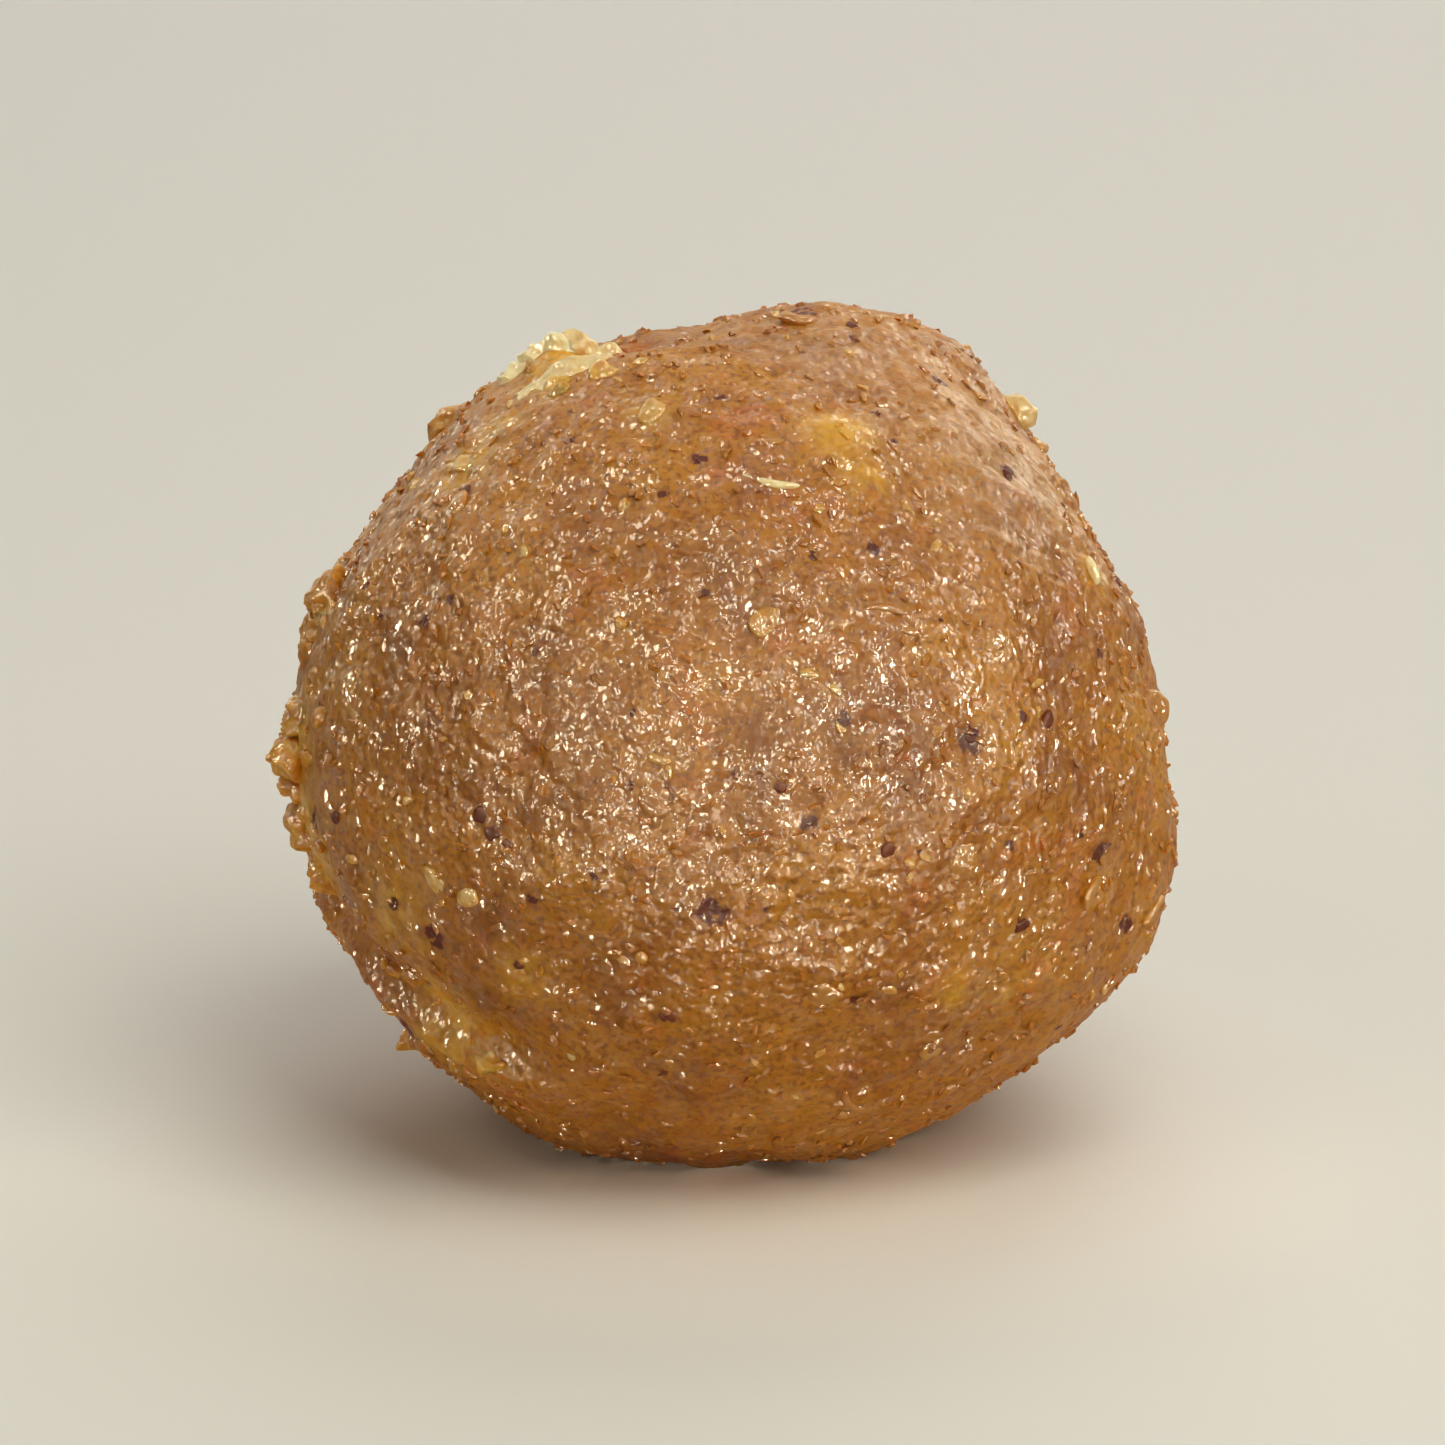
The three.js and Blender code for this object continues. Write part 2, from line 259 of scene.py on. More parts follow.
# The ball's broad forms: those that the front view shows, then those of its hidden back
PALM_FORMS = (
    PalmForm(Place(7.6, 18.2), 6.0, 1.3),
    PalmForm(Place(-4.0, 19.2), 4.6, -1.8),
    PalmForm(Place(-7.9, 17.7), 1.6, 0.7),
    PalmForm(Place(16.2, 11.2), 6.2, -0.85),
    PalmForm(Place(10.4, 16.8), 2.2, 0.35),
    PalmForm(Place(-15.6, 11.8), 5.8, -1.2),
    PalmForm(Place(-19.6, -1.8), 4.0, -0.1),
    PalmForm(Place(-16.0, -11.4), 4.6, -1.0),
    PalmForm(Place(19.6, 1.8), 3.4, -0.4),
    PalmForm(Place(17.8, -8.0), 6.8, 1.4),
    PalmForm(Place(-8.2, -17.8), 5.0, 0.7),
    PalmForm(Place(8.6, -17.6), 5.4, 0.5),
    PalmForm(Place(5.6, 12.9), 2.0, 0.45),
    PalmForm(Place(3.4, -14.4), 3.0, -0.5),
    PalmForm(Place(4.0, 3.0, behind=True), 9.0, -0.8),
    PalmForm(Place(-9.0, -3.0, behind=True), 6.0, 0.7),
    PalmForm(Place(-1.0, -11.0, behind=True), 4.2, -0.8),
    PalmForm(Place(12.0, -7.0, behind=True), 3.4, 0.8),
)
# Where coconut shows through the paste, and where the palms left it smooth: a rougher film, fewer grains and
# a painted greyish sheen there
PALE_PLACES = (
    Patch(Place(5.2, 13.6), 1.8, 0.95),
    Patch(Place(6.2, 11.8), 1.5, 0.8),
    Patch(Place(-3.4, 14.5), 1.2, 0.6),
    Patch(Place(-11.7, 12.4), 1.8, 0.7),
    Patch(Place(-10.1, 14.2), 1.3, 0.6),
    Patch(Place(-7.6, 17.4), 2.0, 0.9),
    Patch(Place(-19.2, 0.6), 2.6, 0.7),
    Patch(Place(-18.6, -4.4), 3.0, 0.7),
    Patch(Place(-14.6, -7.6), 2.4, 0.6),
    Patch(Place(-12.4, -12.8), 2.8, 0.7),
    Patch(Place(-9.0, -10.6), 1.6, 0.6),
    Patch(Place(10.4, -11.2), 1.6, 0.6),
    Patch(Place(16.6, 7.2), 1.2, 0.6),
    Patch(Place(13.0, -11.0), 3.4, 0.35),
    Patch(Place(6.0, 9.0, behind=True), 2.4, 0.6),
    Patch(Place(-8.0, -6.0, behind=True), 3.0, 0.5),
    Patch(Place(-13.0, 7.0, behind=True), 2.0, 0.6),
    Patch(Place(10.0, -10.0, behind=True), 2.6, 0.5),
)
SMOOTH_PLACES = (
    Patch(Place(12.6, 12.4), 6.0, 0.9),
    Patch(Place(5.0, 17.6), 3.8, 0.6),
    Patch(Place(-6.0, 9.0, behind=True), 6.0, 0.7),
    Patch(Place(9.0, -4.0, behind=True), 4.5, 0.6),
)
# The ball's unevenness, from the broadest to the finest, and that of the bits, crumbs and crags
KNEADED = (Noise(7.0, 0.24, 11), Noise(3.2, 0.26, 23), Noise(1.8, 0.15, 37))
CREASED = (Noise(1.15, 0.07, 41), Noise(0.7, 0.05, 43))
GRAINS = (Noise(1.3, 0.08, 60), Noise(0.75, 0.15, 70))
PITS = Noise(3.0, 0.32, 80)
TORN = (Noise(0.8, 0.14, 91), Noise(0.4, 0.08, 91))
RIDGES = Noise(0.9, 0.25, 94)
PATTERNS_APART = 1000
# How far a corner or tip is pulled in or out, and how far down the ball things are spread
UNEVEN: Span = (0.72, 1.2)
LOWEST_SPREAD = math.radians(-58)


@dataclass(frozen=True)
class BallForm:
    """The ball's form: how far its surface is from its middle in every direction, in millimetres."""

    width: float = 39.4
    depth: float = 38.6
    height: float = 37.2
    flat_radius: float = 6.2
    front_tilt: float = 17.0
    grain_slim: float = 0.5
    grain_dome: float = 0.45
    pit_share: float = 0.3
    pit_radius: float = 0.5
    lip: TornLip = TornLip()

    @property
    def half_height(self) -> float:
        """From the middle to the crown."""
        return self.height / (1 + math.sqrt(1 - (2 * self.flat_radius / self.width) ** 2))

    @property
    def middle(self) -> np.ndarray:
        """The ball's middle above the flat that it rests on."""
        return np.array([0.0, 0.0, self.height - self.half_height])

    def toward(self, place: Place) -> np.ndarray:
        """Find the direction from the middle to a place.

        Args:
            place: the place as the front view shows it.

        Returns:
            The direction, of length 1.
        """
        tilt = math.radians(self.front_tilt)
        above = np.array([0.0, math.sin(tilt), math.cos(tilt)])
        towards = np.array([0.0, -math.cos(tilt), math.sin(tilt)])
        out = math.sqrt(max(0.0, (self.width / 2) ** 2 - place.across**2 - place.up**2))
        point = np.array([place.across, 0.0, 0.0]) + place.up * above
        point += (-out if place.behind else out) * towards
        return point / np.linalg.norm(point)

    def _lip_rise(self, points: np.ndarray) -> np.ndarray:
        """Work out how far the torn lip lifts the surface.

        Args:
            points: places on the round ball, one to a row.

        Returns:
            The rise at each place.
        """
        lip = self.lip
        start, end = (self.toward(place) * self.width / 2 for place in (lip.start, lip.end))
        length = np.linalg.norm(end - start)
        along = (end - start) / length
        out = (end + start) / np.linalg.norm(end + start)
        downward = -np.cross(along, out)
        offset = points - start
        reached = offset @ along
        past = np.maximum(0, np.maximum(-reached, reached - length))
        down = offset @ downward
        sunk = (down / lip.hollow_width) ** 2
        above = lip.proud * np.exp(-((down / lip.slope) ** 2))
        below = lip.proud * np.exp(-((down / lip.edge) ** 2)) - lip.hollow * sunk * np.exp(1 - sunk)
        shown = np.exp(-((past / lip.fade) ** 2)) * (points @ out > 0)
        return shown * np.where(down < 0, above, below)

    def round_points(self, directions: np.ndarray) -> np.ndarray:
        """The points of the plain round ball in these directions, one to a row."""
        half_axes = np.array([self.width / 2, self.depth / 2, self.half_height])
        return directions / np.linalg.norm(directions / half_axes, axis=1)[:, None]

    def reach(self, directions: np.ndarray) -> np.ndarray:
        """Work out how far the kneaded surface is from the middle.

        Args:
            directions: directions of length 1, one to a row.

        Returns:
            The distance in each direction.
        """
        points = self.round_points(directions)
        plain = np.linalg.norm(points, axis=1)
        reach = plain + self._lip_rise(points)
        for form in PALM_FORMS:
            turned = np.arccos(np.clip(directions @ self.toward(form.place), -1, 1))
            reach += form.rise * np.exp(-((turned * plain / form.spread) ** 2))
        for noise in KNEADED:
            reach += noise.height * Kneading.lumps(points, noise.cell, noise.seed)
        return reach

    def relief(self, directions: np.ndarray) -> np.ndarray:
        """Work out the fine relief: creases, grains and pits.

        Args:
            directions: directions of length 1, one to a row.

        Returns:
            How far each place stands over the kneaded surface.
        """
        points = self.round_points(directions)
        relief = np.zeros(len(points))
        for noise in CREASED:
            relief += noise.height * Kneading.lumps(points, noise.cell, noise.seed)
        for noise in GRAINS:
            apart, number = Kneading.nearest(points, noise.cell, noise.seed, self.grain_slim)
            relief += noise.height * ((self.grain_dome - apart**2) * (0.5 + number) + 0.5 * (number - 0.5))
        apart, number = Kneading.nearest(points, PITS.cell, PITS.seed)
        depth = PITS.height * np.exp(-((apart * PITS.cell / self.pit_radius) ** 2))
        return relief - depth * (number < self.pit_share)

    def patches(self, directions: np.ndarray, places: tuple[Patch, ...]) -> np.ndarray:
        """Work out how strongly each direction shows any of some soft patches.

        Args:
            directions: directions of length 1, one to a row.
            places: the patches.

        Returns:
            The strength in each direction, from 0 to 1.
        """
        strength = np.zeros(len(directions))
        for patch in places:
            turned = np.arccos(np.clip(directions @ self.toward(patch.place), -1, 1))
            here = patch.strength * np.exp(-((turned * self.width / 2 / patch.spread) ** 2))
            strength = np.maximum(strength, here)
        return strength

    def stains(self, directions: np.ndarray, middles: np.ndarray, radii: np.ndarray) -> np.ndarray:
        """Work out how near each direction is to the middle of any of some small stains.

        Args:
            directions: directions of length 1, one to a row.
            middles: the directions of the stains' middles, one to a row.
            radii: how far each stain reaches, in millimetres.

        Returns:
            The nearness in each direction, from 0 to 1.
        """
        nearness = np.zeros(len(directions))
        for middle, radius in zip(middles, radii):
            apart = np.linalg.norm(directions - middle, axis=1) * self.width / 2
            nearness = np.maximum(nearness, 1 - apart / radius)
        return nearness

    def strayed(self, direction: np.ndarray, stray: np.ndarray, most: float) -> np.ndarray:
        """A direction moved aside. A stray of 0.5 moves it by the most, in millimetres."""
        moved = direction + stray * 4 * most / self.width
        return moved / np.linalg.norm(moved)

    def stand(self, direction: np.ndarray, lift: float, turn: float, tilt: float) -> np.ndarray:
        """Stand a small thing on the surface.

        Args:
            direction: from the ball's middle.
            lift: how far off the surface, in millimetres.
            turn: anticlockwise from level as seen from outside, in degrees.
            tilt: how far its near side is lifted, in degrees.

        Returns:
            The 4 by 4 matrix that moves a thing modelled round its own origin, with +Z outwards.
        """
        level = np.cross([0.0, 0.0, 1.0], direction)
        level /= np.linalg.norm(level)
        basis = np.eye(4)
        basis[:3, :3] = np.stack([level, np.cross(direction, level), direction], axis=1)
        basis[:3, 3] = self.middle + direction * (self.reach(direction[None])[0] + lift)
        spin = np.array(Matrix.Rotation(math.radians(turn), 4, "Z"))
        lean = np.array(Matrix.Rotation(math.radians(tilt), 4, "X"))
        return basis @ spin @ lean


class Wire:
    """A node's output that Python's arithmetic works on, by adding Math nodes."""

    def __init__(self, bench: "Bench", socket: bpy.types.NodeSocket) -> None:
        """Wrap a socket of a bench's tree."""
        self.bench = bench
        self.socket = socket

    def _maths(self, operation: str, first: "Wire | float", second: "Wire | float") -> "Wire":
        """A Math node on two values."""
        return self.bench.node("ShaderNodeMath", {"operation": operation}, {0: first, 1: second})

    def __add__(self, other: "Wire | float") -> "Wire":
        """This plus the other."""
        return self._maths("ADD", self, other)

    __radd__ = __add__

    def __sub__(self, other: "Wire | float") -> "Wire":
        """This less the other."""
        return self._maths("SUBTRACT", self, other)

    def __rsub__(self, other: "Wire | float") -> "Wire":
        """The other less this."""
        return self._maths("SUBTRACT", other, self)

    def __mul__(self, other: "Wire | float") -> "Wire":
        """This times the other."""
        return self._maths("MULTIPLY", self, other)

    __rmul__ = __mul__


class Bench:
    """Adds nodes to a node tree."""

    centre: Triple = (0.5, 0.5, 0.5)
    body_roughness: float = 0.5
    body_gloss: float = 0.1
    film_ior: float = 1.33
    most_thrown: float = 0.055

    def __init__(self, tree: bpy.types.NodeTree) -> None:
        """Work on a tree, emptied first."""
        self.tree = tree
        tree.nodes.clear()

    def end(self, kind: str, sockets: dict[str | int, object]) -> None:
        """Add a node that the tree ends in, with values or wires for its inputs."""
        self._fill(self.tree.nodes.new(kind), sockets)

    def _fill(self, made: bpy.types.Node, sockets: dict[str | int, object]) -> None:
        """Give a node its inputs.

        Args:
            made: the node.
            sockets: values or wires for its inputs, by name or number.
        """
        for name, value in sockets.items():
            if isinstance(value, Wire):
                self.tree.links.new(value.socket, made.inputs[name])
            else:
                made.inputs[name].default_value = value

    def node(
        self, kind: str, settings: dict[str, object] | None = None,
        sockets: dict[str | int, object] | None = None, output: str | int = 0,
    ) -> Wire:
        """Add a node and hand back one of its outputs.

        Args:
            kind: the node's type.
            settings: its own settings by name.
            sockets: values or wires for its inputs, by name or number.
            output: which output to hand back.

        Returns:
            The chosen output.
        """
        made = self.tree.nodes.new(kind)
        for name, value in (settings or {}).items():
            setattr(made, name, value)
        self._fill(made, sockets or {})
        return Wire(self, made.outputs[output])

    def other(self, wire: Wire, output: str | int) -> Wire:
        """Another output of the node that a wire comes from."""
        return Wire(self, wire.socket.node.outputs[output])

    def given(self, name: str) -> Wire:
        """An input of the tree itself, by name."""
        return self.node("NodeGroupInput", output=name)

    def attribute(self, name: str) -> Wire:
        """A value that the mesh carries."""
        return self.node("ShaderNodeAttribute", {"attribute_name": name}, output="Fac")

    def ramp(self, value: Wire, stops: dict[float, Colour]) -> Wire:
        """Colour a value.

        Args:
            value: from 0 to 1.
            stops: a colour at each place from 0 to 1.

        Returns:
            The colour.
        """
        made = self.node("ShaderNodeValToRGB", sockets={0: value})
        elements = made.socket.node.color_ramp.elements
        while len(elements) < len(stops):
            elements.new(0.5)
        for element, (place, colour) in zip(elements, sorted(stops.items())):
            element.position = place
            element.color = (*colour, 1.0)
        return made

    def mix(self, share: Wire | float, first: Wire, second: Colour) -> Wire:
        """A colour with a share, from 0 to 1, of a second colour mixed in."""
        return self.node(
            "ShaderNodeMix", {"data_type": "RGBA"}, {0: share, 6: first, 7: (*second, 1.0)}, output=2)

    def place(self) -> Wire:
        """Where on the object a point is, in metres."""
        return self.node("ShaderNodeTexCoord", output="Object")

    def vector(self, operation: str, first: Wire, second: Wire | Triple = (0.0, 0.0, 0.0)) -> Wire:
        """A Vector Math node on one or two vectors."""
        return self.node("ShaderNodeVectorMath", {"operation": operation}, {0: first, 1: second})

    def scaled(self, vector: Wire, size: Wire | float) -> Wire:
        """A vector made longer or shorter."""
        return self.node("ShaderNodeVectorMath", {"operation": "SCALE"}, {0: vector, "Scale": size})

    def spread(self, value: Wire, low: float, high: float) -> Wire:
        """A value from low to high made 0 to 1, smoothly and with nothing past the ends."""
        return self.node(
            "ShaderNodeMapRange", {"interpolation_type": "SMOOTHSTEP"},
            {"Value": value, "From Min": low, "From Max": high})

    def noise(self, size: float, detail: float = 2.0, offset: float = 0.0, warp: float = 0.0) -> Wire:
        """Soft noise over the object.

        Args:
            size: how wide its patches are, in metres.
            detail: how many finer layers it has.
            offset: moves the pattern, in metres.
            warp: how far it swirls.

        Returns:
            The noise, about 0.5 in the middle.
        """
        moved = self.node("ShaderNodeMapping", sockets={
            "Vector": self.place(), "Location": (offset, offset, offset)})
        return self.node(
            "ShaderNodeTexNoise", sockets={
                "Vector": moved, "Scale": 1 / size, "Detail": detail, "Distortion": warp})

    def bump(self, height: Wire, strength: float = 1.0) -> Wire:
        """A surface normal that follows a height given in metres."""
        return self.node(
            "ShaderNodeBump", sockets={"Height": height, "Distance": 1.0, "Strength": strength})

    def faceted(self, normal: Wire, size: float, slim: float, lean: float, warp: float) -> Wire:
        """Lean small facets of a surface each their own way.

        Args:
            normal: the surface's normal.
            size: how long the facets are, in metres.
            slim: how wide they are for their length.
            lean: how far they lean, as a slope.
            warp: how far their outlines stray, in metres.

        Returns:
            The new normal.
        """
        place = self.place()
        swirl = self.node("ShaderNodeTexNoise", sockets={
            "Vector": place, "Scale": 0.5 / size, "Detail": 1.0}, output="Color")
        away = self.vector("ADD", self.scaled(swirl, warp), place)
        narrowed = self.vector("MULTIPLY", away, (1 / size / slim, 1 / size, 1 / size))
        own = self.node("ShaderNodeTexVoronoi", sockets={"Vector": narrowed, "Scale": 1.0}, output="Color")
        aside = self.scaled(self.vector("SUBTRACT", own, self.centre), lean)
        return self.vector("NORMALIZE", self.vector("ADD", normal, aside))

    def shader(self, **sockets: object) -> Wire:
        """A Principled shader with these inputs."""
        named = {name.replace("_", " "): value for name, value in sockets.items()}
        return self.node("ShaderNodeBsdfPrincipled", {"subsurface_method": "RANDOM_WALK"}, named)

    def body(self, colour: Wire, share: float, reach: float, tint: Colour, normal: Wire) -> Wire:
        """A dull body that light gets into.

        Args:
            colour: its colour.
            share: how much of the light gets in.
            reach: how far it gets, in metres.
            tint: how far each of red, green and blue gets, as shares of the reach.
            normal: its normal.

        Returns:
            The shader.
        """
        return self.shader(
            Base_Color=colour, Roughness=self.body_roughness, Specular_IOR_Level=self.body_gloss,
            Subsurface_Weight=share, Subsurface_Radius=tint, Subsurface_Scale=reach, Normal=normal)

    def surface(self, shader: Wire) -> None:
        """Put the finished shader on the output."""
        self.end("ShaderNodeOutputMaterial", {"Surface": shader})

    def wet(self, body: Wire, share: Wire | float, roughness: Wire | float, normal: Wire) -> None:
        """Lay a clear wet film over a body and put both on the output.

        Args:
            body: the body's shader.
            share: how much of what a film of syrup throws back this one does.
            roughness: the film's.
            normal: the film's own normal.
        """
        film = self.shader(
            Base_Color=(1.0, 1.0, 1.0, 1.0), Metallic=1.0, Roughness=roughness, Normal=normal)
        glancing = self.node("ShaderNodeFresnel", sockets={"IOR": self.film_ior})
        thrown = self.node("ShaderNodeMath", {"operation": "MINIMUM"}, {0: glancing, 1: self.most_thrown})
        self.surface(self.node("ShaderNodeMixShader", sockets={0: thrown * share, 1: body, 2: film}))


def new_material(name: str) -> tuple[bpy.types.Material, Bench]:
    """Start a material.

    Args:
        name: its name.

    Returns:
        The material and the bench that its nodes go on.
    """
    material = bpy.data.materials.new(name)
    material.use_nodes = True
    return material, Bench(material.node_tree)


@dataclass(frozen=True)
class Mottle:
    """A colour that lies over the paste in soft patches.

    Its patches' size and offset are in metres, and where the noise passes from the low to the high end of
    the span, the colour comes in, up to its most share.
    """

    colour: Colour
    size: float
    offset: float
    span: Span
    most: float
    detail: float = 2.0

    def over(self, bench: Bench, colour: Wire) -> Wire:
        """Lay this over a colour."""
        shown = bench.spread(bench.noise(self.size, detail=self.detail, offset=self.offset), *self.span)
        return bench.mix(shown * self.most, colour, self.colour)


@dataclass(frozen=True)
class RaggedPlace:
    """Where the mesh carries a value, its soft edges made ragged by noise of a size and offset in metres."""

    key: str
    size: float
    offset: float
    gain: float
    loss: float
    detail: float = 2.0

    def strength(self, bench: Bench) -> Wire:
        """How strongly the value shows."""
        noise = bench.noise(self.size, detail=self.detail, offset=self.offset)
        return bench.attribute(self.key) * (noise * self.gain - self.loss)


@dataclass(frozen=True)
class PasteFinish:
    """Wet paste of ground coconut and jaggery: golden amber, browner and yellower in patches, with a painted
    sheen where it is smooth.
    """

    name: str = "wet_paste"
    amber: Colour = display(182, 112, 14)
    brown: Colour = display(154, 88, 14)
    straw: Colour = display(200, 134, 26)
    pale: Colour = display(236, 178, 52)
    # painted sheen: a greyish reflection painted into the colour where the paste is smooth
    painted_sheen: Colour = display(188, 150, 108)
    skin: Colour = display(102, 38, 18)
    halo: Colour = display(138, 72, 20)
    patch_size: float = 5.5 * MM
    patch_places: Triple = (0.34, 0.5, 0.68)
    coarse_grain: float = 1.0 * MM
    grain: float = 0.46 * MM
    fine_grain: float = 0.2 * MM
    coarse_height: float = 0.3 * MM
    grain_height: Span = (0.3 * MM, 0.46 * MM)
    fine_height: float = 0.02 * MM
    swirl: float = 0.3
    smoothing: float = 0.2
    rough_span: Span = (0.3, 0.55)
    pale_place: RaggedPlace = RaggedPlace("pale", 0.828 * MM, 0.06, 2.6, 0.4, detail=3.0)
    skin_place: RaggedPlace = RaggedPlace("skin", 0.368 * MM, 0.08, 3.0, 0.5)
    pale_share: float = 0.85
    painted_sheen_share: Span = (0.2, 0.6)
    painted_sheen_span: Span = (0.35, 0.65)
    halo_share: float = 0.55
    halo_span: Span = (0.1, 0.6)
    skin_span: Span = (0.4, 0.6)
    scatter: float = 1.0 * MM
    scatter_share: float = 0.6
    scatter_colour: Colour = (1.0, 0.42, 0.16)
    body_bump: float = 0.45
    film_bump: float = 0.42
    facet: float = 0.38 * MM
    slim: float = 0.45
    lean: float = 0.75
    film_roughness: float = 0.17
    matte_roughness: float = 0.22
    dry_patch: float = 1.3 * MM
    damp_span: Span = (0.38, 0.6)
    damp_share: Span = (0.15, 1.1)
    dry_skin: float = 0.75
    mottles: tuple[Mottle, ...] = (
        Mottle(display(194, 104, 14), 3.3 * MM, 0.04, (0.56, 0.72), 0.65),
        Mottle(display(200, 134, 26), 1.0 * MM, 0.01, (0.35, 0.7), 0.5),
        # The dark grain-sized mottle is partly the paste's own tone and partly painted shade between the
        # grains.
        Mottle(display(128, 66, 16), 0.276 * MM, 0.03, (0.46, 0.7), 0.6, detail=1.0),
    )

    def _relief(self, bench: Bench, smooth: Wire) -> Wire:
        """The wet grains' height in metres, lower where the paste is smooth.

        Args:
            bench: where the nodes go.
            smooth: how smooth the paste is.

        Returns:
            The height.
        """
        rough = bench.spread(bench.noise(self.patch_size, offset=0.02), *self.rough_span)
        coarse = bench.noise(self.coarse_grain, detail=0.0)
        grains = bench.noise(self.grain, detail=0.0, warp=self.swirl)
        fine = bench.noise(self.fine_grain, detail=0.0)
        low, high = self.grain_height
        amount = (rough * (high - low) + low) * (1 - smooth * self.smoothing)
        return coarse * self.coarse_height + grains * amount + fine * self.fine_height

    def _colour(self, bench: Bench, smooth: Wire, near_skin: Wire) -> Wire:
        """The paste's colour: its patches, what lies in and on it, and a painted greyish sheen where it is
        smooth.

        Args:
            bench: where the nodes go.
            smooth: how smooth the paste is.
            near_skin: how near a bit of brown skin is.

        Returns:
            The colour.
        """
        stops = dict(zip(self.patch_places, (self.brown, self.amber, self.straw)))
        colour = bench.ramp(bench.noise(self.patch_size, detail=4.0), stops)
        for mottle in self.mottles:
            colour = mottle.over(bench, colour)
        paled = bench.spread(self.pale_place.strength(bench), 0.0, 1.0)
        colour = bench.mix(paled * self.pale_share, colour, self.pale)
        grainy = bench.spread(bench.noise(self.grain, offset=0.07), *self.painted_sheen_span)
        low, high = self.painted_sheen_share
        # Painted sheen: where the paste is smooth, its colour is greyed as if it mirrored the pale
        # surroundings.
        sheen_places = smooth * (1 - bench.attribute("pale"))
        colour = bench.mix(sheen_places * (grainy * (high - low) + low), colour, self.painted_sheen)
        colour = bench.mix(bench.spread(near_skin, *self.halo_span) * self.halo_share, colour, self.halo)
        return bench.mix(bench.spread(near_skin, *self.skin_span), colour, self.skin)

    def make(self) -> bpy.types.Material:
        """Build the material.

        Returns:
            The finished material.
        """
        material, bench = new_material(self.name)
        smooth = bench.attribute("smooth")
        near_skin = self.skin_place.strength(bench)
        relief = self._relief(bench, smooth)
        body = bench.body(
            self._colour(bench, smooth, near_skin), self.scatter_share, self.scatter, self.scatter_colour,
            bench.bump(relief, strength=self.body_bump))
        damp = bench.spread(bench.noise(self.dry_patch, offset=0.05), *self.damp_span)
        low, high = self.damp_share
        wet_skin = 1 - bench.spread(near_skin, *self.skin_span) * self.dry_skin
        share = (damp * (high - low) + low) * wet_skin
        roughness = smooth * self.matte_roughness + self.film_roughness
        film = bench.bump(relief, strength=self.film_bump)
        bench.wet(body, share, roughness, bench.faceted(film, self.facet, self.slim, self.lean, self.facet))
        return material


@dataclass(frozen=True)
class BitFinish:
    """Wet bits that stand in the paste, each with its own tone."""

    name: str
    low: Colour
    middle: Colour
    high: Colour
    subsurface: float
    film: float = 1.0
    waver: float = 0.6
    grain: float = 0.4 * MM
    grain_height: float = 0.22 * MM
    swirl: float = 0.3
    scatter: float = 0.2 * MM
    scatter_colour: Colour = (1.0, 0.8, 0.5)
    body_bump: float = 0.3
    film_roughness: float = 0.13

    def make(self) -> bpy.types.Material:
        """Build the material.

        Returns:
            The finished material.
        """
        material, bench = new_material(self.name)
        waver = (bench.noise(self.grain, detail=2.0) - 0.5) * self.waver
        colour = bench.ramp(
            bench.attribute("tone") + waver, {0.0: self.low, 0.5: self.middle, 1.0: self.high})
        relief = bench.noise(self.grain, detail=0.0, warp=self.swirl) * self.grain_height
        body = bench.body(
            colour, self.subsurface, self.scatter, self.scatter_colour,
            bench.bump(relief, strength=self.body_bump))
        bench.wet(body, self.film, self.film_roughness, bench.bump(relief))
        return material


@dataclass(frozen=True)
class FloorFinish:
    """A plain pale floor."""

    name: str = "pale_floor"
    colour: Colour = display(240, 240, 240)
    roughness: float = 0.9

    def make(self) -> bpy.types.Material:
        """Build the material.

        Returns:
            The finished material.
        """
        material, bench = new_material(self.name)
        bench.surface(bench.shader(
            Base_Color=(*self.colour, 1.0), Roughness=self.roughness, Specular_IOR_Level=0.0))
        return material


COCONUT = BitFinish(
    "coconut", display(182, 116, 34), display(212, 156, 58), display(248, 232, 178), subsurface=0.6)
NUT_SKIN = BitFinish(
    "nut_skin", display(94, 34, 12), display(122, 56, 18), display(162, 90, 24), subsurface=0.0, film=0.08,
    waver=1.6)


def new_piece(
    name: str, points: np.ndarray, faces: list[list[int]], values: dict[str, np.ndarray],
) -> bpy.types.Object:
    """Make a mesh object from points in millimetres.

    Args:
        name: the piece's name.
        points: its points in the ball's frame, one to a row.
        faces: its faces as rows of point numbers.
        values: what the mesh carries for its finish, a number to a point.

    Returns:
        The object, at the origin.
    """
    mesh = bpy.data.meshes.new(name)
    mesh.from_pydata((points * MM).tolist(), [], faces)
    mesh.shade_smooth()
    for key, numbers in values.items():
        mesh.attributes.new(key, "FLOAT", "POINT").data.foreach_set("value", numbers.astype(np.float32))
    piece = bpy.data.objects.new(name, mesh)
    bpy.context.scene.collection.objects.link(piece)
    return piece


# An icosahedron's tips, in the solid's order
LUMP_TIPS = np.array([
    (-GOLDEN, 0, 1), (0, 1, GOLDEN), (-1, GOLDEN, 0), (1, GOLDEN, 0), (0, 1, -GOLDEN), (-GOLDEN, 0, -1),
    (GOLDEN, 0, 1), (0, -1, GOLDEN), (-1, -GOLDEN, 0), (0, -1, -GOLDEN), (GOLDEN, 0, -1), (1, -GOLDEN, 0),
]) / math.hypot(1, GOLDEN)


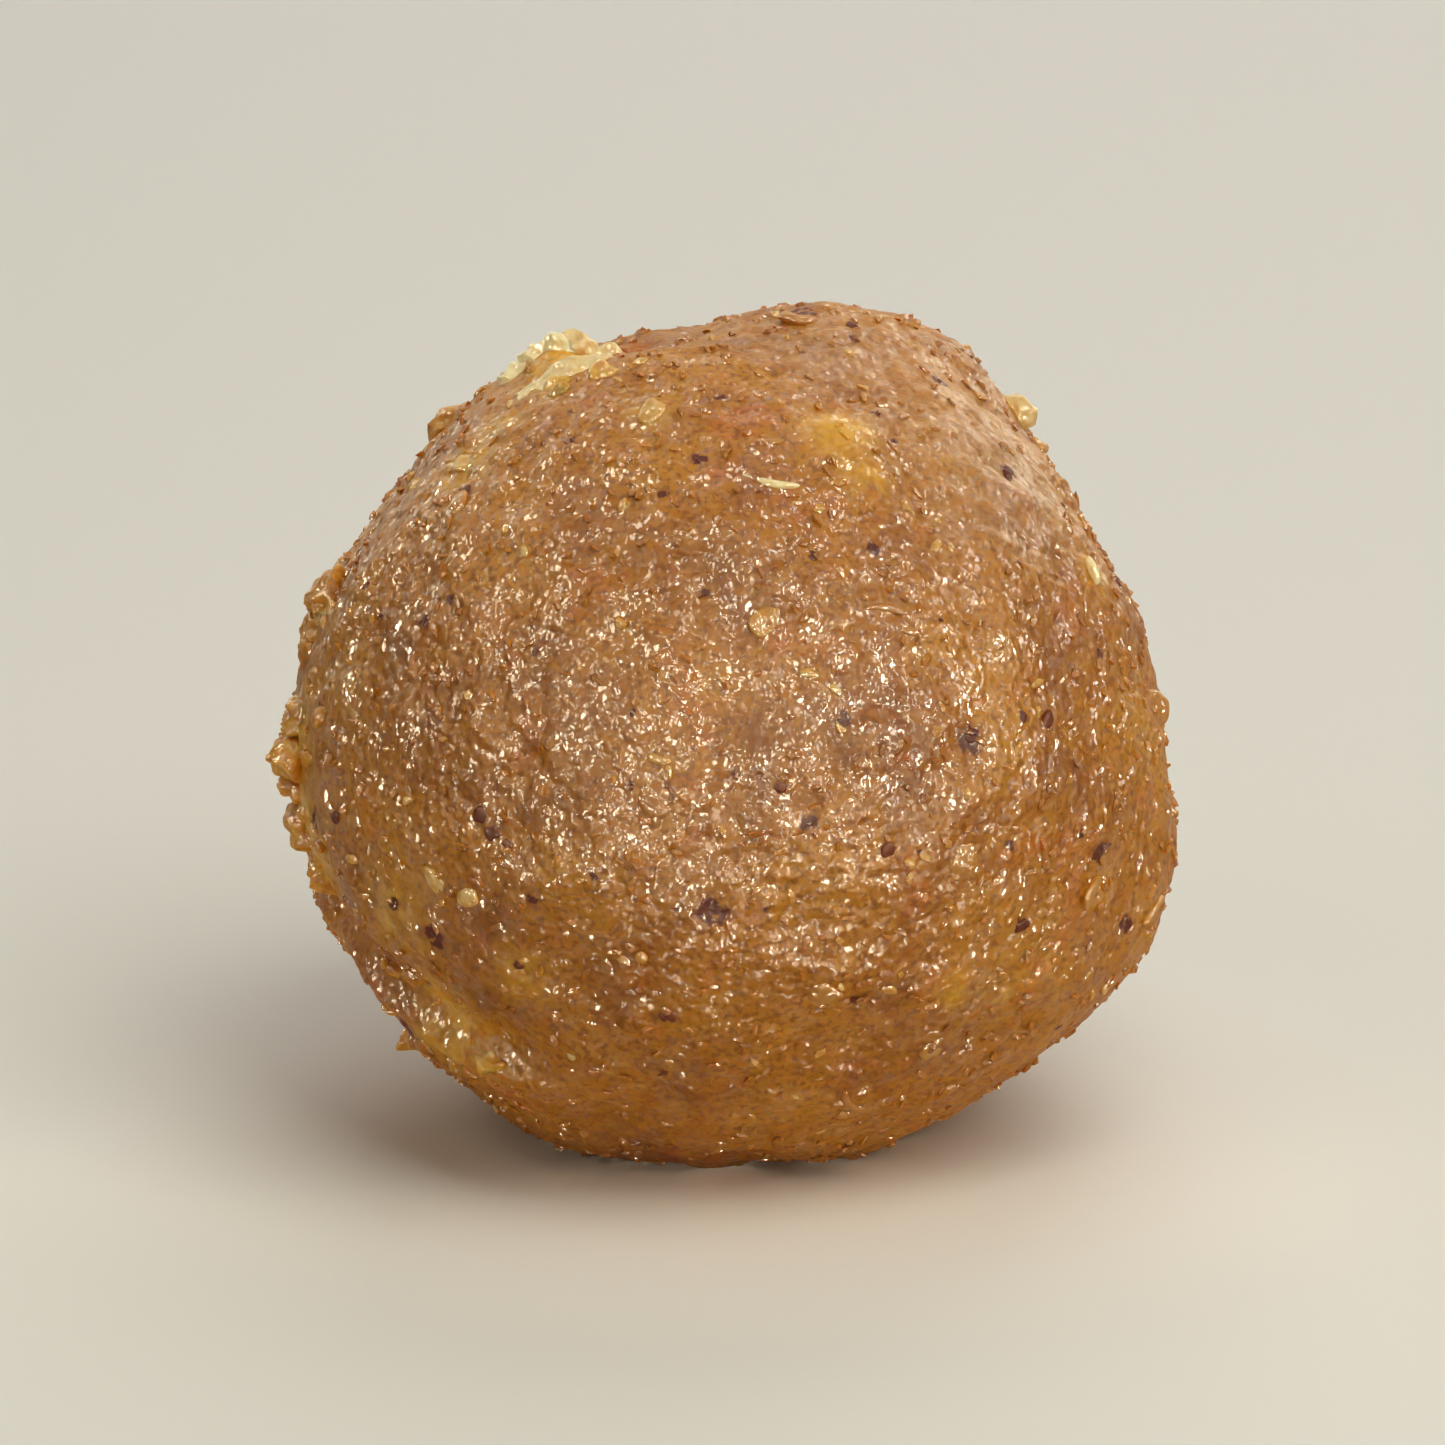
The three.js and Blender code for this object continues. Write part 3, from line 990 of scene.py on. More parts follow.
def geodesic(steps: int) -> tuple[np.ndarray, np.ndarray]:
    """Make a round mesh of even triangles.

    Args:
        steps: how many pieces each of an icosahedron's edges is cut into.

    Returns:
        The directions of its points and its triangles, one to a row.
    """
    match_steps = 1e5
    tips = np.array([(0, s, t * GOLDEN) for s in (-1, 1) for t in (-1, 1)])
    tips = np.concatenate([np.roll(tips, turn, axis=1) for turn in range(3)])
    gaps = np.linalg.norm(tips[:, None] - tips[None], axis=2)
    near = np.isclose(gaps, 2)
    corners = [
        (a, b, c) for a, b, c in itertools.combinations(range(len(tips)), 3)
        if near[a, b] and near[b, c] and near[a, c]]
    grid = [(i, j) for i in range(steps + 1) for j in range(steps + 1 - i)]
    number = {place: n for n, place in enumerate(grid)}
    upward = [(number[i, j], number[i + 1, j], number[i, j + 1]) for i, j in grid if i + j < steps]
    downward = [
        (number[i + 1, j], number[i + 1, j + 1], number[i, j + 1]) for i, j in grid if i + j < steps - 1]
    shares = np.array([(steps - i - j, i, j) for i, j in grid]) / steps
    pattern = np.array(upward + downward)
    points, triangles = [], []
    for n, corner in enumerate(corners):
        a, b, c = tips[list(corner)]
        outward = np.dot(np.cross(b - a, c - a), a) > 0
        points.append(shares @ np.array([a, b, c]))
        triangles.append((pattern if outward else pattern[:, ::-1]) + n * len(grid))
    points = np.concatenate(points)
    keys = np.round(points * match_steps).astype(np.int64)
    _, first, same = np.unique(keys, axis=0, return_index=True, return_inverse=True)
    kept = points[first]
    return kept / np.linalg.norm(kept, axis=1)[:, None], same.reshape(-1)[np.concatenate(triangles)]


@dataclass(frozen=True)
class Shape:
    """A closed mesh round its own origin, +Z outwards, in millimetres."""

    points: np.ndarray
    faces: list[list[int]]

    @classmethod
    def ringed(cls, rings: np.ndarray, near: np.ndarray, far: np.ndarray) -> "Shape":
        """Close a stack of rings with a point at each end.

        Args:
            rings: the rings' points, ring by ring, each anticlockwise as the near end sees it.
            near: the point before the first ring.
            far: the point after the last.

        Returns:
            The closed shape.
        """
        count, around = rings.shape[:2]
        ahead = [(k + 1) % around for k in range(around)]
        last, tip = (count - 1) * around, count * around
        faces = [[tip, k, ahead[k]] for k in range(around)]
        faces += [
            [start + ahead[k], start + k, start + around + k, start + around + ahead[k]]
            for start in range(0, last, around) for k in range(around)]
        faces += [[tip + 1, last + ahead[k], last + k] for k in range(around)]
        return cls(np.concatenate([rings.reshape(-1, 3), near[None], far[None]]), faces)

    def roughened(self, shift: float, ragged: float) -> "Shape":
        """Roughen the surface, more on a thicker shape.

        Args:
            shift: moves the pattern, so that shapes differ.
            ragged: how many times rougher than a crumb.

        Returns:
            The rough shape.
        """
        moved = np.zeros_like(self.points)
        least = min(1.0, np.ptp(self.points, axis=0).min())
        for noise in TORN:
            push = [Kneading.lumps(self.points + shift, noise.cell, noise.seed + axis) for axis in range(3)]
            moved += np.stack(push, axis=1) * noise.height * least * ragged
        return Shape(self.points + moved, self.faces)


@dataclass(frozen=True)
class Chip:
    """A thin chip with worn edges, each of its corners pulled out by its own stretch.

    Its levels are rings, each a share of the outline at a share of the half thickness, and the rings under
    the wavy share go up and down.
    """

    radius: float
    thickness: float
    stretches: list[float]
    steps: int = 5
    wearing: int = 2
    wave: float = 0.12
    wave_count: float = 3.0
    wavy: float = 0.9
    ragged: float = 2.0
    levels: tuple[Span, ...] = (
        (0.45, 1.0), (0.8, 0.8), (0.98, 0.4), (0.98, -0.4), (0.8, -0.8), (0.45, -1.0))

    def _rim(self) -> np.ndarray:
        """Draw the outline, its corners worn round.

        Returns:
            Its points, one to a row.
        """
        sides = len(self.stretches)
        angles = np.radians(360 * np.arange(sides) / sides - 90)
        out = self.radius * np.array(self.stretches)[:, None]
        corners = out * np.stack([np.cos(angles), np.sin(angles)], axis=1)
        shares = np.arange(self.steps)[:, None] / self.steps
        edges = zip(corners, np.roll(corners, -1, 0))
        rim = np.concatenate([a * (1 - shares) + b * shares for a, b in edges])
        for _ in range(self.wearing):
            rim = (np.roll(rim, 1, 0) + 2 * rim + np.roll(rim, -1, 0)) / 4
        return rim

    def shape(self) -> Shape:
        """Stack the rings.

        Returns:
            The chip.
        """
        rim = self._rim()
        wave = 1 + self.wave * np.sin(self.wave_count * np.arange(len(rim)) / self.steps)
        half = np.array([0.0, 0.0, self.thickness / 2])
        rings = np.stack([
            np.column_stack([rim * share, level * half[2] * np.where(share < self.wavy, wave, 1)])
            for share, level in self.levels])
        return Shape.ringed(rings, half, -half).roughened(
            PATTERNS_APART * sum(self.stretches), self.ragged)


@dataclass(frozen=True)
class Strip:
    """A curved coconut shred, pointed at its ends.

    Its ends swing sideways by the bend, a share of its length, and it bends down over a ball as wide as the
    drop.
    """

    length: float
    bend: float
    drop: float
    width: float = 0.42
    thickness: float = 0.36
    steps: int = 18
    around: int = 10
    last_ring: float = 0.97
    narrowing: float = 0.4

    def _spine(self, share: float) -> np.ndarray:
        """The shred's middle line, from -1 to 1."""
        x = share * self.length / 2
        return np.array([x, self.bend * self.length * share**2, -x**2 / self.drop])

    def _ring(self, share: float) -> np.ndarray:
        """Draw the ring round a place on the middle line.

        Args:
            share: the place, from -1 to 1.

        Returns:
            The ring's points, one to a row.
        """
        turns = np.arange(self.around) * math.tau / self.around
        half_width = self.width / 2 * (1 - self.narrowing * share**2)
        ring = [np.zeros(self.around), half_width * np.cos(turns), self.thickness / 2 * np.sin(turns)]
        return self._spine(share) + np.sqrt(1 - share**8) * np.column_stack(ring)

    def shape(self) -> Shape:
        """Stack the rings along the middle line.

        Returns:
            The shred.
        """
        along = np.linspace(-self.last_ring, self.last_ring, self.steps)
        rings = np.stack([self._ring(share) for share in along])
        return Shape.ringed(rings[:, ::-1], self._spine(-1.0), self._spine(1.0))


@dataclass(frozen=True)
class Lump:
    """A rounded lump with an uneven surface, pulled out towards each of twelve tips by its own stretch.

    Torn ridges stand out of it by the share that ridged gives.
    """

    half: Triple
    stretches: list[float]
    steps: int
    ragged: float = 1.0
    ridged: float = 0.0
    pointed: float = 9.0

    def shape(self) -> Shape:
        """Pull a ball out towards its tips, then ridge and roughen it.

        Returns:
            The lump.
        """
        directions, triangles = geodesic(self.steps)
        pull = np.exp(self.pointed * (directions @ LUMP_TIPS.T - 1))
        reach = pull @ np.array(self.stretches) / pull.sum(axis=1)
        shift = PATTERNS_APART * sum(self.stretches)
        half = np.array(self.half)
        crest = RIDGES.height - np.abs(Kneading.lumps(directions * half + shift, RIDGES.cell, RIDGES.seed))
        points = directions * (reach * (1 + self.ridged * crest))[:, None] * half
        return Shape(points, triangles.tolist()).roughened(shift, self.ragged)


@dataclass
class Gathering:
    """Many small shapes joined into one piece."""

    name: str
    key: str = "tone"
    smooth: bool = True
    points: list[np.ndarray] = field(default_factory=list)
    faces: list[list[int]] = field(default_factory=list)
    tones: list[float] = field(default_factory=list)

    def add(self, shape: Shape, stand: np.ndarray, tone: float) -> None:
        """Stand a shape in its place.

        Args:
            shape: the shape.
            stand: the matrix that moves it there.
            tone: its own tone, from 0 to 1.
        """
        first = len(self.tones)
        self.points.append(shape.points @ stand[:3, :3].T + stand[:3, 3])
        self.faces += [[first + number for number in face] for face in shape.faces]
        self.tones += [tone] * len(shape.points)

    def build(self, finish: BitFinish | PasteFinish) -> bpy.types.Object:
        """Make the piece.

        Args:
            finish: what it is dressed in.

        Returns:
            The piece.
        """
        values = {self.key: np.array(self.tones)}
        piece = new_piece(self.name, np.concatenate(self.points), self.faces, values)
        if not self.smooth:
            piece.data.shade_flat()
        piece.data.materials.append(finish.make())
        return piece


@dataclass(frozen=True)
class SeenBit:
    """A bit that the front view shows: its radius or length, its turn and tilt in degrees, its tone."""

    kind: BitKind
    place: Place
    size: float
    turn: float
    tilt: float
    tone: float


@dataclass(frozen=True)
class BitSpread:
    """Bits of one kind spread over the whole ball."""

    kind: BitKind
    count: int
    seed: int
    size: Span
    tilt: Span


SEEN_BITS = (
    SeenBit(BitKind.SHRED, Place(1.9, 11.4), 2.8, -17, 4, 0.9),
    SeenBit(BitKind.SCRAP, Place(16.5, 7.4), 0.8, 80, 40, 0.9),
    SeenBit(BitKind.SCRAP, Place(-3.4, 14.5), 0.8, 10, 12, 0.55),
    SeenBit(BitKind.SCRAP, Place(-11.7, 12.6), 0.9, 150, 20, 0.6),
    SeenBit(BitKind.SCRAP, Place(-12.9, -6.4), 0.7, 40, 16, 0.6),
    SeenBit(BitKind.SCRAP, Place(-11.5, -7.1), 0.6, 200, 20, 0.6),
    SeenBit(BitKind.SKIN, Place(-10.9, -3.4), 0.5, 30, 10, 0.1),
    SeenBit(BitKind.SKIN, Place(-10.3, -4.3), 0.55, 110, 4, 0.2),
    SeenBit(BitKind.SKIN, Place(-9.7, -4.8), 0.35, 60, 4, 0.4),
    SeenBit(BitKind.SKIN, Place(7.2, -5.0), 0.5, 100, 6, 0.3),
    SeenBit(BitKind.SKIN, Place(14.4, 0.7), 0.45, 10, 8, 0.4),
)
SPREAD_BITS = (
    BitSpread(BitKind.SCRAP, 28, 101, (0.6, 1.1), (4, 26)),
    BitSpread(BitKind.SHRED, 8, 211, (2.0, 3.0), (-8, 8)),
    BitSpread(BitKind.SKIN, 16, 307, (0.3, 0.5), (0, 12)),
)


@dataclass
class Bits:
    """The scraps, shreds and bits of brown skin that are fused to the ball."""

    form: BallForm
    seen_seed: int = 53
    tone_seed: int = 71
    bends: Span = (0.05, 0.16)
    sides: dict[BitKind, int] = field(default_factory=lambda: {BitKind.SCRAP: 6, BitKind.SKIN: 5})
    thickness: dict[BitKind, float] = field(default_factory=lambda: {BitKind.SCRAP: 0.44, BitKind.SKIN: 0.3})
    clear_of_seen: float = 2.4
    tones: Span = (0.0, 0.35)

    def _shape(self, kind: BitKind, size: float, draw: Draws) -> Shape:
        """Make one bit's shape.

        Args:
            kind: the bit's kind.
            size: its radius or length.
            draw: the run of numbers that the solid draws it from.

        Returns:
            The shape.
        """
        if kind is BitKind.SHRED:
            return Strip(size, draw.within(self.bends), self.form.width).shape()
        return Chip(size, self.thickness[kind], draw.several(UNEVEN, self.sides[kind])).shape()

    def build(self) -> dict[BitKind, Gathering]:
        """Gather the bits by kind.

        Returns:
            Each kind's gathering.
        """
        gathered = {kind: Gathering(f"{kind.value}_bits") for kind in BitKind}
        draw = Draws(self.seen_seed)
        for bit in SEEN_BITS:
            shape = self._shape(bit.kind, bit.size, draw)
            stand = self.form.stand(self.form.toward(bit.place), 0.0, bit.turn, bit.tilt)
            gathered[bit.kind].add(shape, stand, bit.tone)
        seen = np.array([self.form.toward(bit.place) for bit in SEEN_BITS])
        tones = Draws(self.tone_seed)
        for spread in SPREAD_BITS:
            draw = Draws(spread.seed)
            for direction in spread_over(spread.count, draw):
                shape = self._shape(spread.kind, draw.within(spread.size), draw)
                turn, tilt = 360 * draw(), draw.within(spread.tilt)
                room = math.acos(min(1.0, np.max(seen @ direction))) * self.form.width / 2
                if room >= self.clear_of_seen:
                    stand = self.form.stand(direction, 0.0, turn, tilt)
                    gathered[spread.kind].add(shape, stand, tones.within(self.tones))
        return gathered


def spread_over(count: int, draw: Draws) -> list[np.ndarray]:
    """Spread directions evenly over the ball, each a little off its place, clear of the resting side.

    Args:
        count: how many.
        draw: the run of numbers.

    Returns:
        The directions.
    """
    lowest = math.sin(LOWEST_SPREAD)
    directions = []
    for number in range(count):
        height = 1 - (1 - lowest) * (number + draw()) / count
        angle = number * GOLDEN_TURN + draw()
        across = math.sqrt(1 - height**2)
        directions.append(np.array([across * math.cos(angle), across * math.sin(angle), height]))
    return directions


@dataclass(frozen=True)
class CrumblyPlace:
    """Where crumbs of the paste stand up: how far they spread, how many, how big and what tone."""

    place: Place
    spread: float
    count: int
    radius: Span
    tone: Span


CRUMBLY_PLACES = (
    CrumblyPlace(Place(-7.2, 16.6), 1.5, 5, (0.4, 0.7), (0.6, 0.9)),
    CrumblyPlace(Place(-18.9, 0.6), 2.2, 5, (0.35, 0.6), (0.3, 0.5)),
    CrumblyPlace(Place(-18.4, -4.4), 1.5, 4, (0.35, 0.6), (0.3, 0.6)),
    CrumblyPlace(Place(-14.6, -12.6), 2.8, 7, (0.4, 0.75), (0.2, 0.5)),
    CrumblyPlace(Place(7.0, -5.0, behind=True), 3.0, 6, (0.4, 0.7), (0.1, 0.5)),
    CrumblyPlace(Place(-10.0, 9.0, behind=True), 2.4, 5, (0.4, 0.7), (0.3, 0.6)),
)


@dataclass(frozen=True)
class Crag:
    """A torn ledge of paste: its half length, width and height, its turn in degrees and its tone."""

    place: Place
    half: Triple
    turn: float
    tone: float
    slot: Slot = Slot.PASTE


CRAGS = (
    Crag(Place(-13.0, 14.8), (1.4, 1.0, 1.2), 92, 0.5),
    Crag(Place(-18.3, 6.4), (1.4, 1.5, 1.0), 84, 0.4),
    Crag(Place(-18.8, 4.6), (1.5, 1.4, 0.7), 92, 0.35),
    Crag(Place(-19.4, 0.8), (1.2, 1.7, 1.6), 84, 0.6),
    Crag(Place(-19.5, -0.9), (1.4, 2.0, 1.9), 95, 0.65),
    Crag(Place(-19.4, -2.1), (0.7, 1.6, 1.3), 76, 0.55),
    Crag(Place(-19.2, -4.1), (1.2, 1.4, 1.6), 90, 0.65),
    Crag(Place(-18.5, -6.3), (1.3, 1.3, 1.5), 98, 0.55),
    Crag(Place(13.3, 14.8), (1.0, 0.8, 1.2), 90, 0.75, Slot.COCONUT),
    Crag(Place(-9.6, 16.9), (1.3, 0.6, 1.2), 92, 1.0, Slot.COCONUT),
    Crag(Place(-8.4, 17.5), (1.3, 0.6, 1.6), 84, 1.0, Slot.COCONUT),
    Crag(Place(-7.2, 18.0), (1.3, 0.5, 1.1), 94, 0.75, Slot.COCONUT),
    Crag(Place(-5.9, 18.4), (1.0, 0.5, 0.7), 88, 0.85, Slot.COCONUT),
    Crag(Place(-7.6, 16.9), (2.2, 1.0, 0.6), 90, 0.8, Slot.COCONUT),
    Crag(Place(-14.1, -13.6), (0.5, 0.6, 1.2), 90, 0.6),
    Crag(Place(-10.4, -14.2), (0.9, 0.4, 0.55), 8, 0.75),
    Crag(Place(-11.9, -14.3), (0.7, 0.5, 0.7), 80, 0.5),
    Crag(Place(17.5, 3.0, behind=True), (1.0, 0.7, 0.8), 90, 0.3),
    Crag(Place(8.2, -4.0, behind=True), (1.3, 0.8, 0.9), 30, 0.3),
    Crag(Place(5.8, -5.8, behind=True), (1.1, 0.7, 0.9), 100, 0.5),
    Crag(Place(-10.6, 9.8, behind=True), (1.2, 0.7, 1.0), 60, 0.7, Slot.COCONUT),
    Crag(Place(-9.0, 8.0, behind=True), (0.9, 0.7, 0.8), 130, 0.4),
)


@dataclass
class Crags:
    """The torn ledges of paste that stand out where the ball is craggy."""

    form: BallForm
    seed: int = 601
    sunk: float = 0.3
    steps: int = 12
    ragged: float = 1.2
    ridged: float = 0.5

    def build(self) -> dict[Slot, Gathering]:
        """Gather the crags by finish.

        Returns:
            Each finish's gathering.
        """
        gathered = {
            Slot.PASTE: Gathering("paste_crags", "pale"), Slot.COCONUT: Gathering("coconut_crags")}
        draw = Draws(self.seed)
        for crag in CRAGS:
            stretches = draw.several(UNEVEN, len(LUMP_TIPS))
            shape = Lump(crag.half, stretches, self.steps, self.ragged, self.ridged).shape()
            stand = self.form.stand(
                self.form.toward(crag.place), -self.sunk * crag.half[2], crag.turn, 0.0)
            gathered[crag.slot].add(shape, stand, crag.tone)
        return gathered


@dataclass
class Crumbs:
    """The crumbs that stand up where the ball is crumbly."""

    form: BallForm
    seed: int = 401
    tone_seed: int = 73
    sunk: float = 0.35
    steps: int = 8

    def build(self) -> Gathering:
        """Gather the crumbs.

        Returns:
            The gathering.
        """
        gathered = Gathering("crumbs", "pale")
        tones = Draws(self.tone_seed)
        for number, crumbly in enumerate(CRUMBLY_PLACES):
            draw = Draws(self.seed + number)
            middle = self.form.toward(crumbly.place)
            for _ in range(crumbly.count):
                direction = self.form.strayed(middle, draw.stray(), crumbly.spread)
                size = draw.within(crumbly.radius)
                stretches = draw.several(UNEVEN, len(LUMP_TIPS))
                shape = Lump((size, size, size), stretches, self.steps).shape()
                stand = self.form.stand(direction, -self.sunk * size, 360 * draw(), 0.0)
                gathered.add(shape, stand, tones.within(crumbly.tone))
        return gathered


SEEN_SPECKS = tuple(Place(across, up) for across, up in (
    (-12.3, 6.1), (-13.4, 5.1), (-8.6, 3.8), (-4.1, 1.1), (-0.3, 15.5), (5.7, 17.8), (9.6, 15.9),
    (6.8, 14.6), (7.6, 13.3), (-1.2, 12.4), (12.8, 12.0), (16.8, 3.8), (13.3, 0.9), (0.3, -1.6),
    (-4.2, -2.1), (-2.7, -2.6), (3.7, -3.9), (8.6, -5.1), (12.7, -4.8), (16.4, -5.1), (-17.8, 2.4),
    (-8.4, -7.1), (-0.6, -7.8), (1.8, -7.8), (-5.7, -6.0), (14.3, -12.5), (3.2, -12.8), (-2.8, -15.1),
    (16.9, -8.0), (-14.7, -7.4), (-12.9, -8.9), (-18.3, -3.6), (-6.4, -13.2),
))


@dataclass(frozen=True)
class SpeckKind:
    """Small flecks in the paste, each of one or a few fragments, their sizes in millimetres."""

    name: str
    count: int
    seed: int
    fragments: Span
    stray: float
    length: Span
    width: Span
    thickness: float
    tone: Span
    uneven: Span
    sunk: float = 0.0
    steps: int = 1


@dataclass
class Specks:
    """Flecks that lie nearly flush in the paste, some where the front view shows them."""

    form: BallForm
    kind: SpeckKind
    seen: tuple[Place, ...] = ()
    clear_of_seen: float = 1.6
    stain_radius: Span = (0.3, 1.3)
    tilt: Span = (-20.0, 20.0)
    ragged: float = 2.0

    def directions(self) -> list[np.ndarray]:
        """Find where the flecks are.

        Returns:
            Their directions, the seen ones first.
        """
        directions = [self.form.toward(place) for place in self.seen]
        shown = np.array(directions or [[0.0, 0.0, -1.0]])
        least = math.cos(self.clear_of_seen / self.form.width * 2)
        spread = spread_over(self.kind.count, Draws(self.kind.seed))
        return directions + [d for d in spread if np.max(shown @ d) < least]

    def stains(self) -> tuple[np.ndarray, np.ndarray]:
        """Draw the stains round the flecks.

        Returns:
            The directions of their middles and their radii in millimetres.
        """
        middles = np.array(self.directions())
        draw = Draws(self.kind.seed + 1)
        least, most = self.stain_radius
        return middles, np.array([least + (most - least) * draw() ** 3 for _ in middles])

    def build(self) -> Gathering:
        """Gather the flecks.

        Returns:
            The gathering.
        """
        kind = self.kind
        gathered = Gathering(kind.name, smooth=kind.steps > 1)
        draw = Draws(kind.seed + 2)
        for direction in self.directions():
            for number in range(int(draw.within(kind.fragments))):
                aside = self.form.strayed(direction, draw.stray() * (number > 0), kind.stray)
                half = (draw.within(kind.length) / 2, draw.within(kind.width) / 2, kind.thickness / 2)
                stretches = draw.several(kind.uneven, len(LUMP_TIPS))
                shape = Lump(half, stretches, kind.steps, self.ragged).shape()
                lift = self.form.relief(aside[None])[0] - kind.sunk
                stand = self.form.stand(aside, lift, 360 * draw(), draw.within(self.tilt))
                gathered.add(shape, stand, draw.within(kind.tone))
        return gathered


DARK_SPECKS = SpeckKind(
    "dark_specks", 56, 907, (1.0, 2.6), 0.4, (0.2, 0.6), (0.08, 0.2), 0.2, (0.0, 0.6), (0.3, 1.6), sunk=0.05)
PALE_FLECKS = SpeckKind(
    "pale_flecks", 50, 911, (1.0, 3.0), 0.9, (0.4, 1.0), (0.25, 0.6), 0.34, (0.0, 0.6), (0.4, 1.5), steps=2)


@dataclass
class PasteBall:
    """The ball of paste itself, in fine relief, flat where it rests."""

    form: BallForm
    specks: Specks
    steps: int = 97
    name: str = "paste_ball"

    def build(self) -> bpy.types.Object:
        """Make the piece.

        Returns:
            The ball, dressed.
        """
        directions, triangles = geodesic(self.steps)
        relief = self.form.relief(directions)
        reach = self.form.reach(directions) + relief
        with np.errstate(divide="ignore"):
            to_floor = np.where(directions[:, 2] < 0, -self.form.middle[2] / directions[:, 2], np.inf)
        reach = np.minimum(reach, to_floor)
        piece = new_piece(
            self.name, self.form.middle + directions * reach[:, None], triangles.tolist(),
            {"pale": self.form.patches(directions, PALE_PLACES),
             "smooth": self.form.patches(directions, SMOOTH_PLACES),
             "skin": self.form.stains(directions, *self.specks.stains())})
        piece.data.materials.append(PasteFinish().make())
        return piece


@dataclass(frozen=True)
class GrainKind:
    """One kind of grain: how many, how long, wide and thick, and how deep it sits."""

    name: str
    finish: PasteFinish | BitFinish
    slot: Slot
    per_square_mm: float
    length: Span
    width: Span
    thickness: Span
    lift: float
    seed: int


